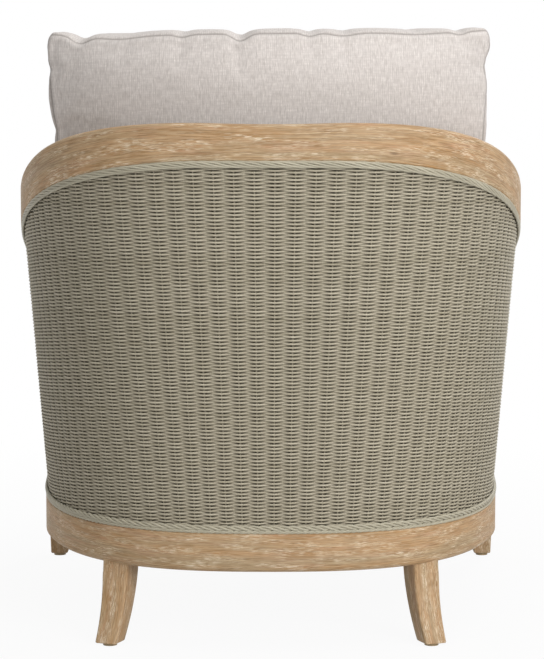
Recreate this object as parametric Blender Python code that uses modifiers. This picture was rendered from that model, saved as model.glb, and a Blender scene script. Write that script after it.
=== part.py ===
"""Outdoor club chair: a barrel-shaped woven body between a bent top rail and a base rail of pale timber.

Metres, +Z up. The sitter faces -Y, the origin is on the floor under the middle of the chair's box, and
left and right are the sitter's. Depths are measured forward from the rear face of the base rail.
"""
import math

import bmesh
import bpy
import numpy as np
from mathutils import Matrix, Vector

# Plan of the wall: the outer faces of the base rail and of the top rail
BASE_HALF_WIDTH = 0.344
BASE_CURVE_DEPTH = 0.435
BASE_FLARE = 0.032
TOP_HALF_WIDTH = 0.374
TOP_CURVE_DEPTH = 0.467
TOP_FLARE = 0.027
RECLINE = 0.070
WALL_DEPTH = 0.700
FLARE_START = 0.200
CURVE_POWER = 2.52
STATIONS = 24

# Rails
RAIL_WIDTH = 0.046
RAIL_ROUND = 0.006
BASE_RAIL_BOTTOM = 0.113
BASE_RAIL_HEIGHT = 0.055
TOP_RAIL_UNDERSIDE = 0.683
TOP_RAIL_HEIGHT = 0.0490
ARM_RAIL_HEIGHT = 0.0610
ARM_HEIGHT_REACH = 0.420
TOP_RAIL_DROP = 0.1595
DROP_START = 0.083
DROP_END = 0.941
RAIL_JOINT_STATION = 12
RAIL_DOWEL_RADIUS = 0.005
RAIL_DOWEL_LENGTH = 0.050

# Front legs, which stand up to the arms, and what lies between them
POST_DEPTH = 0.045
ARM_OVERHANG = 0.012
FRONT_FOOT_WIDTH = 0.028
FRONT_FOOT_TOE_IN = 0.004
LEG_ROUND = 0.005
FRONT_RAIL_WIDTH = 0.034
FRONT_RAIL_SET_BACK = 0.005
CORNER_BLOCK = 0.036

# Rear sabre legs
REAR_LEG_TOP = 0.0405
REAR_LEG_FOOT = 0.0325
REAR_LEG_STATION = 6.5
REAR_LEG_TURN = math.radians(22)
REAR_LEG_SWEEP = 0.036
LEG_BOLT_RADIUS = 0.004
LEG_BOLT_INTO_LEG = 0.035
LEG_BOLT_INTO_RAIL = 0.030
GLIDE_RADIUS = 0.010
GLIDE_HEIGHT = 0.004

# Woven sheets, the braids that hide their edges, and the uprights between them
WEAVE_THICKNESS = 0.003
OUTER_WEAVE_INSET = 0.0055
INNER_WEAVE_INSET = 0.006
BRAID_THICKNESS = 0.0056
BRAID_HEIGHT = 0.0125
UPRIGHT_WIDTH = 0.026
UPRIGHT_HEAD_GAP = 0.001
UPRIGHT_STATIONS = {"back": 2.5, "corner": 8.5, "side": 15.5}

# Seat platform
LEDGER_TOP = 0.268
LEDGER_HEIGHT = 0.032
LEDGER_WIDTH = 0.024
STRAP_WIDTH = 0.050
STRAP_THICKNESS = 0.0016
STRAP_WAVE = 0.0015
STRAP_HOLD = 0.022
STRAP_END_INSET = 0.008
STRAPS_EACH_WAY = 5
LONG_STRAP_PITCH = 0.095
CROSS_STRAP_PITCH = 0.110
REAR_CROSS_STRAP = 0.180

# Cushions
CUSHION_GAP = 0.006
SEAT_THICKNESS = 0.145
SEAT_CROWN = 0.024
SEAT_BULGE = 0.005
SEAT_PULL = 0.010
SEAT_FRONT_REACH = 0.006
BACK_SETTLE = 0.0018
BACK_HEIGHT = 0.420
BACK_BOTTOM_HALF_WIDTH = 0.301
BACK_TOP_HALF_WIDTH = 0.319
BACK_REAR_BOTTOM = 0.275
BACK_LEAN = 0.060
BACK_EDGE_THICKNESS = 0.115
BACK_BEND = 0.085
BACK_REAR_CROWN = 0.060
BACK_FRONT_CROWN = 0.038
BACK_SIDE_PULL = 0.007
BACK_TOP_PULL = 0.004
BACK_BULGE = 0.010

# Fits, and how finely curves are cut
CLEARANCE = 0.0003
SHEET_CLEARANCE = 0.001
SHARP_ANGLE = math.radians(38)
ROUND_SEGMENTS = 2
ROD_SIDES = 16
STRAP_CELLS = 24
REAR_LEG_CELLS = 6
SEAT_CELLS = (8, 8, 3)
BACK_CELLS = (8, 3, 8)
LINE_SAMPLES = 8 * STATIONS + 1
CURVE_SAMPLES = 15 * STATIONS + 1

# Levels and depths that follow from these
BASE_RAIL_TOP = BASE_RAIL_BOTTOM + BASE_RAIL_HEIGHT
POST_FRONT = WALL_DEPTH + CLEARANCE + POST_DEPTH
FRONT_RAIL_FRONT = POST_FRONT - FRONT_RAIL_SET_BACK
FRONT_RAIL_REAR = FRONT_RAIL_FRONT - FRONT_RAIL_WIDTH
FRONT_WEAVE_FACE = FRONT_RAIL_FRONT - OUTER_WEAVE_INSET
SEAT_RAIL_FRONT = FRONT_WEAVE_FACE - WEAVE_THICKNESS - SHEET_CLEARANCE
INNER_WEAVE_FACE = RAIL_WIDTH - INNER_WEAVE_INSET
UPRIGHT_OUTER = OUTER_WEAVE_INSET + WEAVE_THICKNESS + SHEET_CLEARANCE
UPRIGHT_INNER = INNER_WEAVE_FACE - WEAVE_THICKNESS - SHEET_CLEARANCE
LEDGER_OUTER = UPRIGHT_INNER + CLEARANCE
LEDGER_INNER = LEDGER_OUTER + LEDGER_WIDTH
STRAP_LINE = INNER_WEAVE_FACE + STRAP_END_INSET
STRAP_MIDDLE = LEDGER_TOP + CLEARANCE + STRAP_WAVE + STRAP_THICKNESS / 2
SEAT_BOTTOM = STRAP_MIDDLE + STRAP_WAVE + STRAP_THICKNESS / 2 + CLEARANCE
SEAT_TOP = SEAT_BOTTOM + SEAT_THICKNESS
BACK_BOTTOM = SEAT_TOP + SEAT_CROWN - BACK_SETTLE + CLEARANCE


class PlanLine:
    """An outer plan line of the wall from the middle of the back to the front post, in equal stations."""

    def __init__(self, half_width, curve_depth, flare, rear):
        turn = np.linspace(0, math.pi / 2, CURVE_SAMPLES)
        depth = curve_depth * (1 - np.cos(turn) ** (2 / CURVE_POWER))
        across = half_width * np.sin(turn) ** (2 / CURVE_POWER)
        reach = WALL_DEPTH - rear
        straight = np.linspace(curve_depth, reach, LINE_SAMPLES)[1:]
        depth = np.concatenate([depth, straight])
        across = np.concatenate([across, np.full(len(straight), half_width)])
        across = across + flare * np.clip((depth - FLARE_START) / (reach - FLARE_START), 0, None) ** 2
        run = np.concatenate([[0], np.cumsum(np.hypot(np.diff(across), np.diff(depth)))])
        self.length = run[-1]
        self.u = np.linspace(0, 1, STATIONS + 1)
        self.across = np.interp(self.u * self.length, run, across)
        self.depth = np.interp(self.u * self.length, run, depth + rear)
        heading = np.unwrap(np.arctan2(np.gradient(depth, run), np.gradient(across, run)))
        heading[0] = 0
        self.heading = np.interp(self.u * self.length, run, heading)

    def at(self, u, inset):
        """(x, depth) at u, from -1 at the right front post to 1 at the left one, moved inward by inset."""
        part = min(abs(u), 1)
        beyond = (abs(u) - part) * self.length
        heading = np.interp(part, self.u, self.heading)
        x = np.interp(part, self.u, self.across - inset * np.sin(self.heading))
        depth = np.interp(part, self.u, self.depth + inset * np.cos(self.heading))
        x += beyond * math.cos(heading)
        depth += beyond * math.sin(heading)
        return math.copysign(x, u), depth


BASE_LINE = PlanLine(BASE_HALF_WIDTH, BASE_CURVE_DEPTH, BASE_FLARE, 0)
TOP_LINE = PlanLine(TOP_HALF_WIDTH, TOP_CURVE_DEPTH, TOP_FLARE, -RECLINE)
ARM_REACH = 1 + (CLEARANCE + POST_DEPTH + ARM_OVERHANG) / TOP_LINE.length
ARM_FRONT = TOP_LINE.at(ARM_REACH, RAIL_WIDTH)[1]
REAR_Y = (ARM_FRONT - RECLINE) / 2


def blend(low, high, share):
    return low + (high - low) * share


def smooth(share):
    share = min(max(share, 0), 1)
    return share * share * (3 - 2 * share)


def rail_underside(u):
    """Height of the top rail's lower face, which falls from the back towards the arms."""
    run = min(max((abs(u) * TOP_LINE.length - DROP_START) / (DROP_END - DROP_START), 0), 1)
    return TOP_RAIL_UNDERSIDE - TOP_RAIL_DROP * (0.5 - 0.5 * math.cos(math.pi * run))


def rail_height(u):
    """Height of the top rail's section, which grows from the back towards the arms."""
    return blend(TOP_RAIL_HEIGHT, ARM_RAIL_HEIGHT, smooth(abs(u) * TOP_LINE.length / ARM_HEIGHT_REACH))


def station_rail_underside(u):
    """Height of the top rail's lower face along the straight run between two stations."""
    low = math.floor(u * STATIONS)
    share = u * STATIONS - low
    return rail_underside(low / STATIONS) * (1 - share) + rail_underside((low + 1) / STATIONS) * share


def base_point(u, inset, z):
    x, depth = BASE_LINE.at(u, inset)
    return Vector((x, REAR_Y - depth, z))


def top_point(u, inset, share):
    """A point of the top rail, with share 0 on its lower face and 1 on its upper one."""
    x, depth = TOP_LINE.at(u, inset)
    return Vector((x, REAR_Y - depth, rail_underside(u) + share * rail_height(u)))


def wall_point(u, inset, z):
    """A point of the leaning wall at height z: straight lines join the base rail to the top rail."""
    share = (z - BASE_RAIL_TOP) / (station_rail_underside(u) - BASE_RAIL_TOP)
    low = base_point(u, inset, z)
    high = top_point(u, inset, 0)
    point = low.lerp(high, share)
    point.z = z
    return point


def post_x(depth, inset, z):
    """X of the left front post's side at a depth, moved inward by inset from its outer face."""
    sides = []
    for line in (BASE_LINE, TOP_LINE):
        x_rear, rear = line.at(1, inset)
        x_front, front = line.at(2, inset)
        sides.append(x_rear + (x_front - x_rear) * (depth - rear) / (front - rear))
    share = max((z - BASE_RAIL_TOP) / (rail_underside(1) - BASE_RAIL_TOP), 0)
    return sides[0] + (sides[1] - sides[0]) * share


for old in list(bpy.data.objects):
    bpy.data.objects.remove(old)

parts = bpy.data.collections.new("outdoor_club_chair")
cutters = bpy.data.collections.new("cutters")
bpy.context.scene.collection.children.link(parts)
bpy.context.scene.collection.children.link(cutters)


def material(name, colour, roughness, metallic=0.0):
    made = bpy.data.materials.new(name)
    made.use_nodes = True
    shader = made.node_tree.nodes["Principled BSDF"]
    shader.inputs["Base Color"].default_value = (*colour, 1)
    shader.inputs["Roughness"].default_value = roughness
    shader.inputs["Metallic"].default_value = metallic
    return made


TIMBER = material("limed_timber", (0.48, 0.30, 0.15), 0.60)
WICKER = material("resin_wicker", (0.42, 0.39, 0.31), 0.55)
BRAID = material("resin_braid", (0.38, 0.38, 0.31), 0.55)
WEBBING = material("seat_webbing", (0.05, 0.05, 0.05), 0.80)
LINEN = material("outdoor_linen", (0.62, 0.58, 0.55), 0.90)
STEEL = material("zinc_steel", (0.60, 0.60, 0.62), 0.35, 1.0)
NYLON = material("dark_nylon", (0.03, 0.03, 0.03), 0.50)


def add_part(name, mesh, look, collection=parts):
    made = bpy.data.objects.new(name, mesh)
    collection.objects.link(made)
    mesh.materials.append(look)
    mesh.shade_smooth()
    mesh.set_sharp_from_angle(angle=SHARP_ANGLE)
    if collection is cutters:
        made.hide_render = True
        made.display_type = "WIRE"
    return made


def shaped_block(name, cells, place, look, bevel=0, bevel_axis=None, nose=False, subdivision=0):
    """A cube cut into cells along x, y and z, each corner moved by place(a, b, c), with a, b, c from 0 to 1.

    A bevel rounds the edges along one axis, and with nose those of its far end as well.
    """
    work = bmesh.new()
    bmesh.ops.create_cube(work, size=1)
    for axis, count in enumerate(cells):
        if count > 1:
            along = [e for e in work.edges if abs(e.verts[0].co[axis] - e.verts[1].co[axis]) > 0.5]
            bmesh.ops.subdivide_edges(work, edges=along, cuts=count - 1, use_grid_fill=True)
    if bevel:
        weight = work.edges.layers.float.new("bevel_weight_edge")
        for edge in work.edges:
            run = edge.verts[1].co - edge.verts[0].co
            middle = (edge.verts[0].co + edge.verts[1].co) / 2
            across = [abs(middle[i]) for i in range(3) if i != bevel_axis]
            lengthwise = abs(run[bevel_axis]) > 0.5 * run.length and min(across) > 0.499
            edge[weight] = 1.0 if lengthwise or nose and middle[bevel_axis] > 0.499 else 0.0
    for vert in work.verts:
        vert.co = place(*(value + 0.5 for value in vert.co))
    if work.calc_volume(signed=True) < 0:
        bmesh.ops.reverse_faces(work, faces=work.faces)
    mesh = bpy.data.meshes.new(name)
    work.to_mesh(mesh)
    work.free()
    made = add_part(name, mesh, look)
    if bevel:
        rounding = made.modifiers.new("rounded_edges", "BEVEL")
        rounding.width = bevel
        rounding.segments = ROUND_SEGMENTS
        rounding.limit_method = "WEIGHT"
    if subdivision:
        swelling = made.modifiers.new("soft_form", "SUBSURF")
        swelling.levels = subdivision
        swelling.render_levels = subdivision
    return made


def bent_bar(name, point, ends, insets, levels, look, bevel=0, nose=False):
    """A bar along the wall from one end to the other, on a line that point(u, inset, level) gives."""
    cells = max(round(abs(ends[1] - ends[0]) * STATIONS), 1)

    def place(a, b, c):
        return point(blend(*ends, a), blend(*insets, b), blend(*levels, c))

    return shaped_block(name, (cells, 1, 1), place, look, bevel, 0, nose)


def rod(name, radius, length, matrix, look, collection=parts):
    work = bmesh.new()
    bmesh.ops.create_cone(
        work, cap_ends=True, segments=ROD_SIDES, radius1=radius, radius2=radius, depth=length, matrix=matrix
    )
    mesh = bpy.data.meshes.new(name)
    work.to_mesh(mesh)
    work.free()
    return add_part(name, mesh, look, collection)


def cut(target, cutter):
    hole = target.modifiers.new("hole", "BOOLEAN")
    hole.operation = "DIFFERENCE"
    hole.object = cutter


def fitted_rod(name, radius, length, matrix, look, seats):
    """A rod with a hole for it, a clearance wider all round, in each of its seats."""
    rod(name, radius, length, matrix, look)
    bore = rod(name + "_hole", radius + CLEARANCE, length + 2 * CLEARANCE, matrix, look, cutters)
    for seat in seats:
        cut(seat, bore)


SIDES = {"left": 1, "right": -1}


def rail_set(joint, line, point, levels, names, reach):
    """A rail round the back and one along each side, butted and dowelled at a station."""
    gap = CLEARANCE / line.length / 2
    rear_ends = (-joint + gap, joint - gap)
    rear = bent_bar(names["back"], point, rear_ends, (0, RAIL_WIDTH), levels, TIMBER, RAIL_ROUND)
    step = 1 / STATIONS
    for side, sign in SIDES.items():
        ends = (sign * (joint + gap), sign * reach)
        arm = bent_bar(names[side], point, ends, (0, RAIL_WIDTH), levels, TIMBER, RAIL_ROUND, reach > 1)
        middle = sum(levels) / 2
        at = point(sign * joint, RAIL_WIDTH / 2, middle)
        before = point(sign * (joint - step), RAIL_WIDTH / 2, middle)
        after = point(sign * (joint + step), RAIL_WIDTH / 2, middle)
        turn = (after - before).to_track_quat("Z", "Y").to_matrix().to_4x4()
        matrix = Matrix.Translation(at) @ turn
        dowel = names["dowel"] + "_" + side
        fitted_rod(dowel, RAIL_DOWEL_RADIUS, RAIL_DOWEL_LENGTH, matrix, TIMBER, (rear, arm))
    return rear


# Base rail: a back and two sides that end on the front legs, and a straight front between the legs
joint_share = RAIL_JOINT_STATION / STATIONS
base_names = {
    "back": "base_rail_back",
    "left": "base_rail_left",
    "right": "base_rail_right",
    "dowel": "base_rail_dowel",
}
base_levels = (BASE_RAIL_BOTTOM, BASE_RAIL_TOP)
base_rail_back = rail_set(joint_share, BASE_LINE, base_point, base_levels, base_names, 1)


def between_posts(depths, levels, end_gap=CLEARANCE):
    """Places a straight bar between the two front legs, its ends cut to their inner sides."""

    def place(a, b, c):
        depth = blend(*depths, b)
        z = blend(*levels, c)
        x = post_x(depth, RAIL_WIDTH + end_gap, z)
        return Vector((blend(-x, x, a), REAR_Y - depth, z))

    return place


front_rail_depths = (FRONT_RAIL_REAR, FRONT_RAIL_FRONT)
front_place = between_posts(front_rail_depths, base_levels)
shaped_block("base_rail_front", (1, 1, 1), front_place, TIMBER, RAIL_ROUND, 0)


# Top rail: the bent back and two arms, which run on over the front legs
top_names = {
    "back": "top_rail_back",
    "left": "arm_rail_left",
    "right": "arm_rail_right",
    "dowel": "top_rail_dowel",
}
rail_set(joint_share, TOP_LINE, top_point, (0, 1), top_names, ARM_REACH)


def front_leg(side, sign):
    """A leg that tapers below the base rail and goes on up, flush with the weave, to the arm."""
    foot_rear = WALL_DEPTH + (POST_DEPTH - FRONT_FOOT_WIDTH) / 2
    foot_outer = post_x(foot_rear, 0, 0) - FRONT_FOOT_TOE_IN
    start = 1 + CLEARANCE / BASE_LINE.length
    base_end = start + POST_DEPTH / BASE_LINE.length
    top_end = start + POST_DEPTH / TOP_LINE.length
    shoulder_heights = (BASE_RAIL_BOTTOM, BASE_RAIL_TOP)

    def place(a, b, c):
        level = round(4 * c)
        if level == 0:
            x = foot_outer - FRONT_FOOT_WIDTH * a
            y = REAR_Y - foot_rear - FRONT_FOOT_WIDTH * b
            return Vector((sign * x, y, GLIDE_HEIGHT + CLEARANCE))
        if level < 3:
            return base_point(sign * blend(start, base_end, b), RAIL_WIDTH * a, shoulder_heights[level - 1])
        inset = blend(OUTER_WEAVE_INSET, RAIL_WIDTH, a)
        top = top_point(sign * blend(start, top_end, b), inset, 0) - Vector((0, 0, CLEARANCE))
        if level == 4:
            return top
        shoulder = base_point(sign * blend(start, base_end, b), inset, BASE_RAIL_TOP)
        return shoulder.lerp(top, BRAID_HEIGHT / (top.z - BASE_RAIL_TOP))

    shaped_block("front_leg_" + side, (1, 1, 4), place, TIMBER, LEG_ROUND, 2)
    half_foot = FRONT_FOOT_WIDTH / 2
    foot = Vector((sign * (foot_outer - half_foot), REAR_Y - foot_rear - half_foot, 0))
    glide("glide_front_" + side, foot)


def glide(name, foot):
    middle = foot + Vector((0, 0, GLIDE_HEIGHT / 2))
    rod(name, GLIDE_RADIUS, GLIDE_HEIGHT, Matrix.Translation(middle), NYLON)


def rear_leg(side, sign):
    """A square sabre leg turned outward, hung under the base rail by a bolt."""
    top = base_point(sign * REAR_LEG_STATION / STATIONS, RAIL_WIDTH / 2, BASE_RAIL_BOTTOM)
    outward = Vector((sign * math.sin(REAR_LEG_TURN), math.cos(REAR_LEG_TURN), 0))
    sideways = Vector((outward.y, -outward.x, 0))
    foot_level = GLIDE_HEIGHT + CLEARANCE
    top_level = BASE_RAIL_BOTTOM - CLEARANCE

    def place(a, b, c):
        half = blend(REAR_LEG_FOOT, REAR_LEG_TOP, c) / 2
        sweep = REAR_LEG_SWEEP * (1 - c) ** 2
        point = top + outward * (sweep + (2 * b - 1) * half) + sideways * (2 * a - 1) * half
        point.z = blend(foot_level, top_level, c)
        return point

    leg = shaped_block("rear_leg_" + side, (1, 1, REAR_LEG_CELLS), place, TIMBER, LEG_ROUND, 2)
    glide("glide_rear_" + side, Vector((top.x, top.y, 0)) + outward * REAR_LEG_SWEEP)
    length = LEG_BOLT_INTO_LEG + LEG_BOLT_INTO_RAIL
    middle = top + Vector((0, 0, (LEG_BOLT_INTO_RAIL - LEG_BOLT_INTO_LEG) / 2))
    matrix = Matrix.Translation(middle)
    fitted_rod("rear_leg_bolt_" + side, LEG_BOLT_RADIUS, length, matrix, STEEL, (leg, base_rail_back))


def corner_block(side, sign):
    """A glue block in the corner between the front base rail and a side base rail."""
    front = FRONT_RAIL_REAR - CLEARANCE

    def place(a, b, c):
        depth = front - CORNER_BLOCK * (1 - b)
        x = post_x(depth, RAIL_WIDTH + CLEARANCE + CORNER_BLOCK * a, 0)
        return Vector((sign * x, REAR_Y - depth, blend(*base_levels, c)))

    shaped_block("corner_block_" + side, (1, 1, 1), place, TIMBER)


def upright(name, station):
    """A slat of the hidden frame, from the base rail up to the top rail, behind the woven sheets."""
    half = UPRIGHT_WIDTH / BASE_LINE.length / 2
    middle = station / STATIONS

    def place(a, b, c):
        u = blend(middle - half, middle + half, a)
        top = station_rail_underside(u) - UPRIGHT_HEAD_GAP
        return wall_point(u, blend(UPRIGHT_OUTER, UPRIGHT_INNER, b), blend(BASE_RAIL_TOP + CLEARANCE, top, c))

    shaped_block(name, (1, 1, 1), place, TIMBER)


for side, sign in SIDES.items():
    front_leg(side, sign)
    rear_leg(side, sign)
    corner_block(side, sign)
    for place_name, station in UPRIGHT_STATIONS.items():
        upright("upright_" + place_name + "_" + side, sign * station)


# Seat platform: a bent ledger on the uprights, a front rail between the legs, and interlaced webbing
ledger_levels = (LEDGER_TOP - LEDGER_HEIGHT, LEDGER_TOP)
ledger_insets = (LEDGER_OUTER, LEDGER_INNER)
ledger_gap = CLEARANCE / BASE_LINE.length / 2
ledger_joint = joint_share - ledger_gap
bent_bar("seat_ledger_back", wall_point, (-ledger_joint, ledger_joint), ledger_insets, ledger_levels, TIMBER)
for side, sign in SIDES.items():
    ledger_ends = (sign * (joint_share + ledger_gap), sign)
    bent_bar("seat_ledger_" + side, wall_point, ledger_ends, ledger_insets, ledger_levels, TIMBER)
seat_rail_rear = WALL_DEPTH + LEDGER_INNER * math.sin(math.pi / 2 - BASE_LINE.heading[-1]) + CLEARANCE
seat_rail_depths = (seat_rail_rear, SEAT_RAIL_FRONT)
shaped_block("seat_rail_front", (1, 1, 1), between_posts(seat_rail_depths, ledger_levels), TIMBER)

strap_line = [wall_point(u, STRAP_LINE, LEDGER_TOP) for u in np.linspace(0, 1, LINE_SAMPLES)]
strap_line_x = [p.x for p in strap_line]
strap_line_depth = [REAR_Y - p.y for p in strap_line]
strap_front = (seat_rail_rear + SEAT_RAIL_FRONT) / 2
widest = int(np.argmax(strap_line_x))


def strap_height(along, start, end, first_crossing, pitch, over):
    """Height of a strap's middle: a wave over and under its crossings, lying on the timber at its ends."""
    wave = STRAP_MIDDLE + over * STRAP_WAVE * math.cos(math.pi * (along - first_crossing) / pitch)
    rest = LEDGER_TOP + CLEARANCE + STRAP_THICKNESS / 2
    hold = smooth(min(along - start, end - along) / STRAP_HOLD)
    return blend(rest, wave, hold)


def long_strap(index):
    middle = (index - (STRAPS_EACH_WAY - 1) / 2) * LONG_STRAP_PITCH
    over = 1 if index % 2 else -1

    def place(a, b, c):
        x = middle + (a - 0.5) * STRAP_WIDTH
        rear = np.interp(abs(x), strap_line_x[: widest + 1], strap_line_depth[: widest + 1])
        depth = blend(rear, strap_front, b)
        z = strap_height(depth, rear, strap_front, REAR_CROSS_STRAP, CROSS_STRAP_PITCH, over)
        return Vector((x, REAR_Y - depth, z + (c - 0.5) * STRAP_THICKNESS))

    shaped_block("webbing_long_" + str(index + 1), (1, STRAP_CELLS, 1), place, WEBBING)


def cross_strap(index):
    middle = REAR_CROSS_STRAP + index * CROSS_STRAP_PITCH
    over = -1 if index % 2 else 1
    first_crossing = -(STRAPS_EACH_WAY - 1) / 2 * LONG_STRAP_PITCH

    def place(a, b, c):
        depth = middle + (b - 0.5) * STRAP_WIDTH
        end = np.interp(depth, strap_line_depth, strap_line_x)
        x = blend(-end, end, a)
        z = strap_height(x, -end, end, first_crossing, LONG_STRAP_PITCH, over)
        return Vector((x, REAR_Y - depth, z + (c - 0.5) * STRAP_THICKNESS))

    shaped_block("webbing_cross_" + str(index + 1), (STRAP_CELLS, 1, 1), place, WEBBING)


for strap in range(STRAPS_EACH_WAY):
    long_strap(strap)
    cross_strap(strap)


# Woven sheets: one outside and one inside the uprights, and one across the front
def woven_sheet(name, face, bottom):
    """A sheet round the wall from a level up to the top rail."""

    def place(a, b, c):
        u = blend(-1, 1, a)
        z = blend(bottom + CLEARANCE, rail_underside(u) - CLEARANCE, c)
        return wall_point(u, blend(face, face + WEAVE_THICKNESS, b), z)

    shaped_block(name, (2 * STATIONS, 1, 1), place, WICKER)


woven_sheet("outer_weave", OUTER_WEAVE_INSET, BASE_RAIL_TOP)
woven_sheet("inner_weave", INNER_WEAVE_FACE - WEAVE_THICKNESS, LEDGER_TOP)
front_weave_depths = (FRONT_WEAVE_FACE - WEAVE_THICKNESS, FRONT_WEAVE_FACE)
front_weave_levels = (BASE_RAIL_TOP + CLEARANCE, LEDGER_TOP)
shaped_block("front_weave", (1, 1, 1), between_posts(front_weave_depths, front_weave_levels), WICKER)


# Braids: flat plaits laid along the edges of the woven sheets
def oval(b, c):
    """The cell (b, c) of a square section moved onto an oval that fills the section."""
    across, up = 2 * b - 1, 2 * c - 1
    reach = math.hypot(across, up)
    if reach == 0:
        return 0, 0
    share = max(abs(across), abs(up)) / reach
    return across * share / 2, up * share / 2


def wall_braid(name, inset, level):
    """A braid round the wall, its middle at an inset and at a height that level(u) gives."""

    def place(a, b, c):
        u = blend(-1, 1, a)
        across, up = oval(b, c)
        return wall_point(u, inset + across * BRAID_THICKNESS, level(u) + up * BRAID_HEIGHT)

    shaped_block(name, (2 * STATIONS, 2, 2), place, BRAID)


def front_braid(name, level):
    """A straight braid across the front, against the face of the front sheet."""
    depth = FRONT_WEAVE_FACE + CLEARANCE + BRAID_THICKNESS / 2

    def place(a, b, c):
        across, up = oval(b, c)
        z = level + up * BRAID_HEIGHT
        here = depth + across * BRAID_THICKNESS
        x = post_x(here, RAIL_WIDTH + CLEARANCE, z)
        return Vector((blend(-x, x, a), REAR_Y - here, z))

    shaped_block(name, (1, 2, 2), place, BRAID)


braid_reach = CLEARANCE + BRAID_HEIGHT / 2
outer_braid_inset = OUTER_WEAVE_INSET - CLEARANCE - BRAID_THICKNESS / 2
inner_braid_inset = INNER_WEAVE_FACE + CLEARANCE + BRAID_THICKNESS / 2
wall_braid("outer_top_braid", outer_braid_inset, lambda u: rail_underside(u) - braid_reach)
wall_braid("outer_base_braid", outer_braid_inset, lambda u: BASE_RAIL_TOP + braid_reach)
wall_braid("inner_top_braid", inner_braid_inset, lambda u: rail_underside(u) - braid_reach)
front_braid("front_base_braid", BASE_RAIL_TOP + braid_reach)
front_braid("front_seat_braid", LEDGER_TOP - BRAID_HEIGHT / 2)


# Seat cushion: round at the back, straight at the front, flat below and crowned above
seat_inset = RAIL_WIDTH + CUSHION_GAP + SEAT_BULGE
seat_line = [wall_point(u, seat_inset, SEAT_BOTTOM) for u in np.linspace(0, ARM_REACH, LINE_SAMPLES)]
seat_line_x = [p.x for p in seat_line]
seat_line_depth = [REAR_Y - p.y for p in seat_line]


def seat_place(a, b, c):
    across, back = 2 * a - 1, 2 * b - 1
    share = (SEAT_BOTTOM - BASE_RAIL_TOP) / (rail_underside(0) - BASE_RAIL_TOP)
    middle = blend(BASE_CURVE_DEPTH, TOP_CURVE_DEPTH - RECLINE, share)
    rear = seat_inset - RECLINE * share
    front = POST_FRONT + SEAT_FRONT_REACH
    edge = max(abs(across), abs(back))
    puff = SEAT_BULGE * (1 - abs(2 * c - 1)) * edge ** 4
    half_width = np.interp(middle + max(-back, 0) * (front - middle), seat_line_depth, seat_line_x)
    if back > 0:
        x = across * math.sqrt(1 - back * back / 2) * (half_width + puff)
        depth = middle - back * math.sqrt(1 - across * across / 2) * (middle - rear + puff)
    else:
        x = across * (half_width + puff - SEAT_PULL * 4 * -back * (1 + back))
        depth = middle - back * (front - middle + puff - SEAT_PULL * (1 - across * across))
    crown = SEAT_CROWN * (1 - across ** 2) * (1 - back ** 4)
    z = SEAT_BOTTOM + c * (SEAT_THICKNESS + crown)
    return Vector((x, REAR_Y - depth, z))


shaped_block("seat_cushion", SEAT_CELLS, seat_place, LINEN, subdivision=1)


# Back cushion: a boxed pillow that leans back, swells into the hollow of the back and rises above the rail
def back_place(a, b, c):
    across, up, through = 2 * a - 1, 2 * c - 1, 2 * b - 1
    half_width = blend(BACK_BOTTOM_HALF_WIDTH, BACK_TOP_HALF_WIDTH, c) - BACK_SIDE_PULL * (1 - up * up)
    edge = max(abs(across), abs(up))
    puff = BACK_BULGE * (1 - abs(through)) * edge ** 4
    x = across * (half_width + puff)
    height = BACK_HEIGHT - BACK_TOP_PULL * (1 - across * across)
    z = BACK_BOTTOM + height * c + puff * max(up, 0)
    full = (1 - across ** 4) * (1 - up ** 4)
    edge_depth = BACK_REAR_BOTTOM - BACK_LEAN * c - BACK_BEND * (1 - across ** 2)
    rear_face = edge_depth - BACK_REAR_CROWN * full
    front_face = edge_depth + BACK_EDGE_THICKNESS + BACK_FRONT_CROWN * full
    return Vector((x, REAR_Y - blend(rear_face, front_face, b), z))


shaped_block("back_cushion", BACK_CELLS, back_place, LINEN, subdivision=1)
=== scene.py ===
"""Outdoor club chair seen from behind: a woven barrel between limed timber rails, with loose linen cushions.

Metres, +Z up. The sitter faces -Y, and left and right are the sitter's. Depths run forward from the rear
face of the base rail.
"""
import math

import bpy
import numpy as np
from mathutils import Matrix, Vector, kdtree


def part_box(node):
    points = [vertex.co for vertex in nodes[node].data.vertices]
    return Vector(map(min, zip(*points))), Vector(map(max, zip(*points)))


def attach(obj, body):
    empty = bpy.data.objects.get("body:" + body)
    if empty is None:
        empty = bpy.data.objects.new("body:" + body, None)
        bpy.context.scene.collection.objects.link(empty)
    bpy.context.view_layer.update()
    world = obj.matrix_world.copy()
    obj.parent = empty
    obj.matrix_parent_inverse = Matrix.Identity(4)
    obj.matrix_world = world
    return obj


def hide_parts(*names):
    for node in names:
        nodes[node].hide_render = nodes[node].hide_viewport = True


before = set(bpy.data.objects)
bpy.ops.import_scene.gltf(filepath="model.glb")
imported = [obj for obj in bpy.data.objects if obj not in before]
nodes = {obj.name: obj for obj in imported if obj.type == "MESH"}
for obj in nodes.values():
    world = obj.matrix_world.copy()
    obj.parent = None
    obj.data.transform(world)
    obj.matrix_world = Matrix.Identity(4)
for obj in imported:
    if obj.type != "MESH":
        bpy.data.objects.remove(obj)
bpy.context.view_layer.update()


# Base rail: a hoop of pale timber under the woven body, laminated round the back, with straight sides and
# a front that are dowelled to it and to the front legs. Its edges are rounded over with a router, and it
# is limed: white paste rubbed into the open grain and wiped off across the face.
REAR_Y = 0.345685
WALL_DEPTH = 0.700
BASE_HALF_WIDTH = 0.344
BASE_CURVE_DEPTH = 0.435
BASE_FLARE = 0.032
FLARE_START = 0.200
CURVE_POWER = 2.52
RAIL_WIDTH = 0.046
BASE_RAIL_BOTTOM = 0.113
BASE_RAIL_TOP = 0.168
BASE_RAIL_ROUND = 0.0105
BASE_RAIL_END_ROUND = 0.0015
BASE_RAIL_INNER_ROUND = 0.006
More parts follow.
